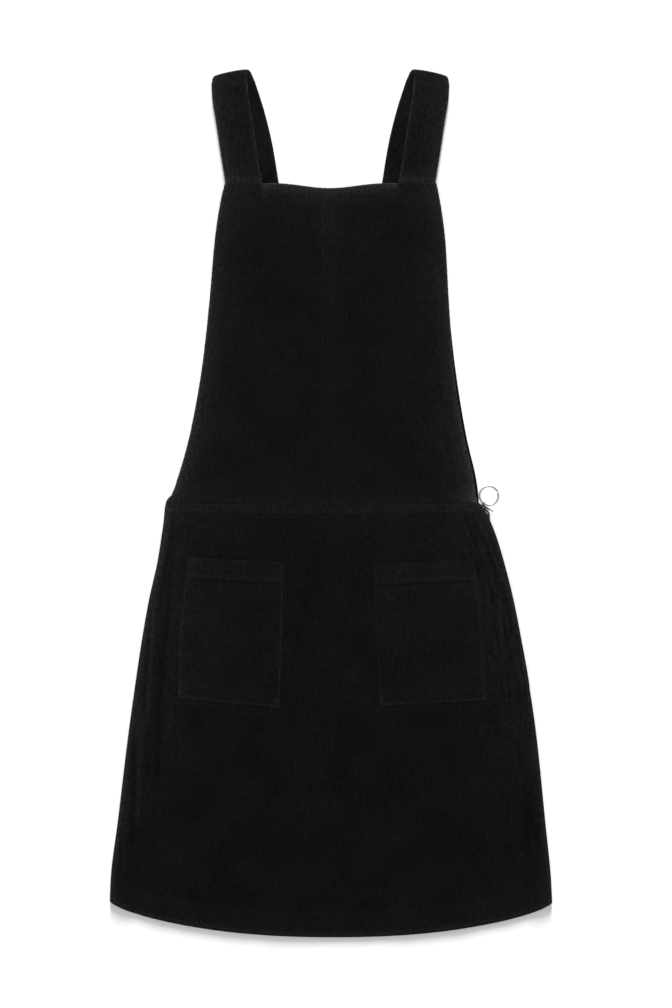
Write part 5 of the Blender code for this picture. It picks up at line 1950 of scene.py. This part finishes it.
@dataclass
class Zip(Piece):
    """The zip in the side seam at +X: its tapes, closed teeth, slider and pull ring."""

    heading: float = math.radians(-34)
    corner: Pair = (157.9 * MM, 0)
    middle: float = 4.1 * MM
    slab_grid: tuple[int, int] = (13, 28)
    polished: Pair = mm(6, 8)
    eye_radii: Pair = mm(1.1, 1.8)
    eye_thick: float = 1 * MM
    eye_along: float = 2.1 * MM
    eye_out: float = 1.15 * MM
    eye_grid: tuple[int, int] = (28, 12)
    ring_radius: float = 9.95 * MM
    ring_wire: float = 0.98 * MM
    ring_clear: float = 0.1 * MM
    ring_gap: float = 0.10 * MM
    ring_open: float = math.radians(148)
    ring_end: float = 0.86
    ring_grid: tuple[int, int] = (120, 16)
    chain_thick: float = 2.4 * MM
    chain_heights: Pair = mm(1.9, 7.5)
    chain_start: float = 6.8 * MM
    chain_straight: float = 1.7 * MM
    chain_deep: float = 3.4 * MM
    chain_bend: float = 6 * MM
    chain_span: Pair = mm(-18, -182)
    bend_to: float = math.radians(-80)
    tooth_pitch: float = 2.05 * MM
    tooth_shares: Triple = (0.27, 0.46, 0.60)
    tooth_power: float = 0.45
    tooth_grid: tuple[int, int] = (9, 12)
    tape: float = 1 * MM
    tape_rim: float = 0.5 * MM
    tape_gap: float = 0.3 * MM
    tape_steps: Pair = mm(2, 1.2)
    tape_reach: Pair = mm(3.8, 15)
    tape_span: Pair = mm(-42, -180)
    tape_cut: float = 0.143

    def axes(self) -> Arrays:
        """The slider's length and its outward direction, both level."""
        along = np.array([math.cos(self.heading), math.sin(self.heading), 0])
        return along, np.array([-along[1], along[0], 0])

    def place(self, t: Array, n: Array, z: Array) -> Array:
        """Points at t along the slider, n out of its outer plate and height z."""
        along, outward = self.axes()
        t, n, z = (part[..., None] for part in np.broadcast_arrays(t, n, z))
        return np.array([*self.corner, 0]) + t * along + n * outward + z * np.array([0, 0, 1])

    def route(self) -> Array:
        """Middle line of the closed teeth: out of the slider, round its bend and down inside the edge."""
        along, outward = (axis[:2] for axis in self.axes())
        start = np.array(self.corner) + self.chain_start * along - self.chain_deep * outward
        pivot = start + self.chain_straight * along - self.chain_bend * outward
        turn = np.linspace(self.heading, self.bend_to, 12)[:, None]
        bend = pivot + self.chain_bend * np.hstack([-np.sin(turn), np.cos(turn)])
        y = np.linspace(*self.chain_span, 90)
        x = column(SKIRT_OUTLINE, "right", y) - column(CHAIN_ROUTE, "inset", y)
        return np.vstack([start, bend, np.stack([x, y], axis=-1)])

    def teeth(self, finishes: Finishes) -> None:
        """Two rows of interlocking teeth: rounded blocks, by turns at the top and bottom of the chain."""
        route = self.route()
        arc = ways_along(route)
        count = 2 * int(arc[-1] / self.tooth_pitch)
        at = (np.arange(count) + 0.5) * arc[-1] / count
        centre, tangent = along_path(route, arc, at), tangents(route, arc, at, MM)
        normal = np.stack([-tangent[:, 1], tangent[:, 0]], axis=-1)
        rounds, sides = self.tooth_grid
        a, b, c = block(rounds, sides, self.tooth_power)
        long, deep, tall = self.tooth_shares
        low, high = self.chain_heights
        a, b = a[None, ..., None] * self.tooth_pitch * long, b[None, ..., None] * self.chain_thick * deep
        plan = centre[:, None, None] + tangent[:, None, None] * a + normal[:, None, None] * b
        side = (np.arange(count) % 2 * 2 - 1)[:, None, None]
        z = (low + high) / 2 + (high - low) / 2 * (side * (1 - tall) + c[None] * tall)
        points = np.concatenate([plan, z[..., None]], axis=-1)
        faces = repeated(grid_faces(rounds, sides, wrap_columns=True), count, rounds * sides)
        self.keep(make_object("zip_teeth", points, faces, finishes.teeth), "zip_metal", ("zip_chain",))

    def tapes(self, finishes: Finishes) -> None:
        """Both tapes, lying against the insides of the two panels."""
        f, rim = self.form, self.tape_rim
        edge_in = rim_steps(rim, 4)
        (start, stop), (low, high) = self.tape_span, self.tape_reach
        step_down, step_across = self.tape_steps
        y = np.concatenate([start - edge_in, run(start - rim, stop, step_down)])[:, None]
        body = run(low + rim, high - rim, step_across)[:-1]
        inset = np.concatenate([low + edge_in, body, (high - edge_in)[::-1]])[None, :]
        x = column(SKIRT_OUTLINE, "right", y) - inset
        y = y * np.ones_like(x)
        heights = {
            "front": f.skirt_top(x, y) - f.cloth - f.lay,
            "back": np.full_like(x, f.cloth + self.tape + self.tape_gap),
        }
        for name, z in heights.items():
            outer, rims = points_at(x, y, z), Rims(rim, rim, rim, rim)
            sheet = ClothSheet(f"zip_tape_{name}_weave", outer, self.tape, rims)
            node, flat = f"zip_tape_{name}", (high - low, self.tape_cut)
            self.lay(sheet, finishes.tape, node, f"skirt_{name}_panel", flat, slot="zip_tape")

    def slab(self, row: Slab) -> Arrays:
        """Points and quads of a block of the slider, narrowed towards its far end."""
        low, high = np.array(row.low) * MM, np.array(row.high) * MM
        middle, half = (low + high) / 2, (high - low) / 2
        along, up, out = block(*self.slab_grid, row.power)
        t = middle[0] + along * half[0]
        taper = 1 - row.narrow * np.clip((t - low[0]) / (high[0] - low[0]), 0, 1)
        points = self.place(t, middle[1] + out * half[1], middle[2] + up * taper * half[2])
        return points.reshape(-1, 3), grid_faces(*self.slab_grid, wrap_columns=True)

    def eye(self) -> Arrays:
        """The eye: a ring of oval section across the slider, standing out of its outer plate."""
        turn, over = (around(count) for count in self.eye_grid)
        turn, over = turn[:, None], over[None, :]
        hole, rim = self.eye_radii
        reach = (rim + hole + (rim - hole) * np.cos(over)) / 2
        points = self.place(
            self.eye_along + np.sin(over) * self.eye_thick / 2 * np.ones_like(turn),
            self.eye_out + reach * np.cos(turn),
            self.middle + reach * np.sin(turn),
        )
        return points.reshape(-1, 3), grid_faces(*self.eye_grid, wrap_rows=True, wrap_columns=True)

    def slider(self, finishes: Finishes) -> None:
        """Outer plate, inner plate, neck, guide flanges and eye, as one casting."""
        parts = [self.slab(row) for row in SLIDER]
        parts.insert(3, self.eye())
        points, faces = joined(parts)
        # polish takes the tarnish off beyond 6 to 8 mm along, so the far end of the outer plate is lighter
        # than the body, which is painted dark for shade
        along = (points - np.array([*self.corner, 0])) @ self.axes()[0]
        polish = {"polish": smooth(*self.polished, along)}
        made = make_object("zip_slider_casting", points, faces, finishes.slider, None, polish)
        made.visible_shadow = False
        self.keep(made, "slider_metal", ("zip_slider",))

    def pull_ring(self, finishes: Finishes) -> None:
        """A wire ring with its butted ends, lying over from the eye to the surface."""
        tilt = math.asin((self.middle - self.ring_wire - self.ring_clear) / (2 * self.ring_radius))
        rounds, sides = self.ring_grid
        gap = self.ring_gap / self.ring_radius
        turn = self.ring_open + gap + np.linspace(0, 2 * np.pi - 2 * gap, rounds)[:, None]
        over = around(sides)[None, :]
        end = np.minimum(np.arange(rounds), np.arange(rounds)[::-1])[:, None]
        wire = self.ring_wire * np.where(end == 0, 0, np.where(end == 1, self.ring_end, 1))
        reach = self.ring_radius + wire * np.cos(over)
        out = self.ring_radius - reach * np.cos(turn)
        lift = wire * np.sin(over) * np.ones_like(turn)
        level = out * math.cos(tilt) + lift * math.sin(tilt)
        height = -out * math.sin(tilt) + lift * math.cos(tilt)
        along, faces = self.eye_along + reach * np.sin(turn), grid_faces(rounds, sides, wrap_columns=True)
        points = self.place(along, self.eye_out + level, self.middle + height)
        made = make_object("zip_pull_ring", points, faces, finishes.ring)
        made.visible_shadow = False
        self.keep(made, "ring_metal", ("zip_ring",), RING)

    def build(self, finishes: Finishes) -> None:
        """Makes the whole zip."""
        self.tapes(finishes)
        self.teeth(finishes)
        self.slider(finishes)
        self.pull_ring(finishes)


# ---- Studio ----


@dataclass
class Studio:
    """Floor, soft light from the strap end and above, and a camera straight overhead."""

    floor_half: float = 6
    view_centre: Pair = mm(5.25, -0.84)
    view_tall: float = 1.0584
    camera_height: float = 4
    sensor: float = 36
    key_elevations: tuple[int, ...] = (15, 23, 33)
    key_share: float = 0.61
    overhead_share: float = 0.20
    sky_share: float = 0.45

    def floor(self) -> None:
        """A wide pale floor, which isn't part of the dress."""
        h = self.floor_half
        corners = np.array([[-h, -h, 0], [h, -h, 0], [h, h, 0], [-h, h, 0]])
        made = make_object("floor", corners, np.array([[0, 1, 2, 3]]), FloorFinish().material())

    def lamp(self, name: str, azimuth: float, elevation: float, strength: float, width: float) -> None:
        """A far soft light.

        Args:
            name, strength: its name and irradiance.
            azimuth, elevation: degrees from +X towards +Y, and above the floor, that it comes from.
            width: the angle that it spans, in degrees.
        """
        data = bpy.data.lights.new(name, "SUN")
        data.energy = strength
        data.angle = math.radians(width)
        turn = (math.radians(90 - elevation), 0.0, math.radians(azimuth + 90))
        linked(name, data).rotation_euler = turn

    def light(self) -> None:
        """A tall narrow key light from the strap end, a soft one overhead, and a pale sky.

        Each lamp's strength is its share of the floor's light times pi, over the sine of its elevation.
        """
        for elevation in self.key_elevations:
            share = self.key_share / len(self.key_elevations)
            strength = share * math.pi / math.sin(math.radians(elevation))
            self.lamp(f"key_{elevation}", 90, elevation, strength, 9)
        self.lamp("overhead", 90, 90, self.overhead_share * math.pi, 40)
        world = bpy.data.worlds.new("studio")
        world.use_nodes = True
        sky = world.node_tree.nodes["Background"]
        sky.inputs["Color"].default_value = (1.0, 1.0, 1.0, 1.0)
        sky.inputs["Strength"].default_value = self.sky_share
        bpy.context.scene.world = world

    def camera(self) -> None:
        """A long lens straight above, which frames the given height of floor."""
        data = bpy.data.cameras.new("camera")
        data.sensor_fit = "AUTO"
        data.sensor_width = self.sensor
        data.lens = self.camera_height * self.sensor / self.view_tall
        data.clip_end = 50
        made = linked("camera", data)
        made.location = (*self.view_centre, self.camera_height)
        bpy.context.scene.camera = made

    def build(self) -> None:
        """Makes the floor, the lights and the camera."""
        self.floor()
        self.light()
        self.camera()
        bpy.context.scene.view_settings.view_transform = "Standard"


def main() -> None:
    """Builds the studio and the dress in order and reports each piece."""
    logging.basicConfig(level=logging.INFO, format="%(name)s %(message)s")
    Studio().build()
    finishes = Finishes()
    left = ((-148.6, -56), (-49.7, -61), (-160.3, -203.5), (-54.4, -213.4))
    right = ((44.3, -63.4), (150.5, -58.3), (51.2, -211.5), (162.6, -205.4))
    pieces: list[Piece] = [
        SkirtBack(FORM),
        SkirtFront(FORM),
        BibBack(FORM),
        BibFront(FORM, Side.LEFT, 8 * MM, (0.172, 0.340), 0.0466, edge_sheen_and_wear=0.30, lighter=0.03),
        BibFront(FORM, Side.RIGHT, 5.4 * MM, (0.158, 0.340), 0.0440, edge_sheen_and_wear=0.26, darker=0.035),
        Strap(FORM, Side.LEFT, outer_sheen_and_wear=0.30),
        Strap(FORM, Side.RIGHT),
        PatchPocket(FORM, Side.LEFT, left, (3.8, 0.9), (0.106, 0.152), (0.09, 0.11), (0.07, 0)),
        PatchPocket(FORM, Side.RIGHT, right, (0.9, 1.2), (0.112, 0.15), (0.01, 0.05), (0.012, 0.03)),
        Zip(FORM),
    ]
    for piece in pieces:
        piece.build(finishes)
        piece.report()


if __name__ == "__main__":
    main()
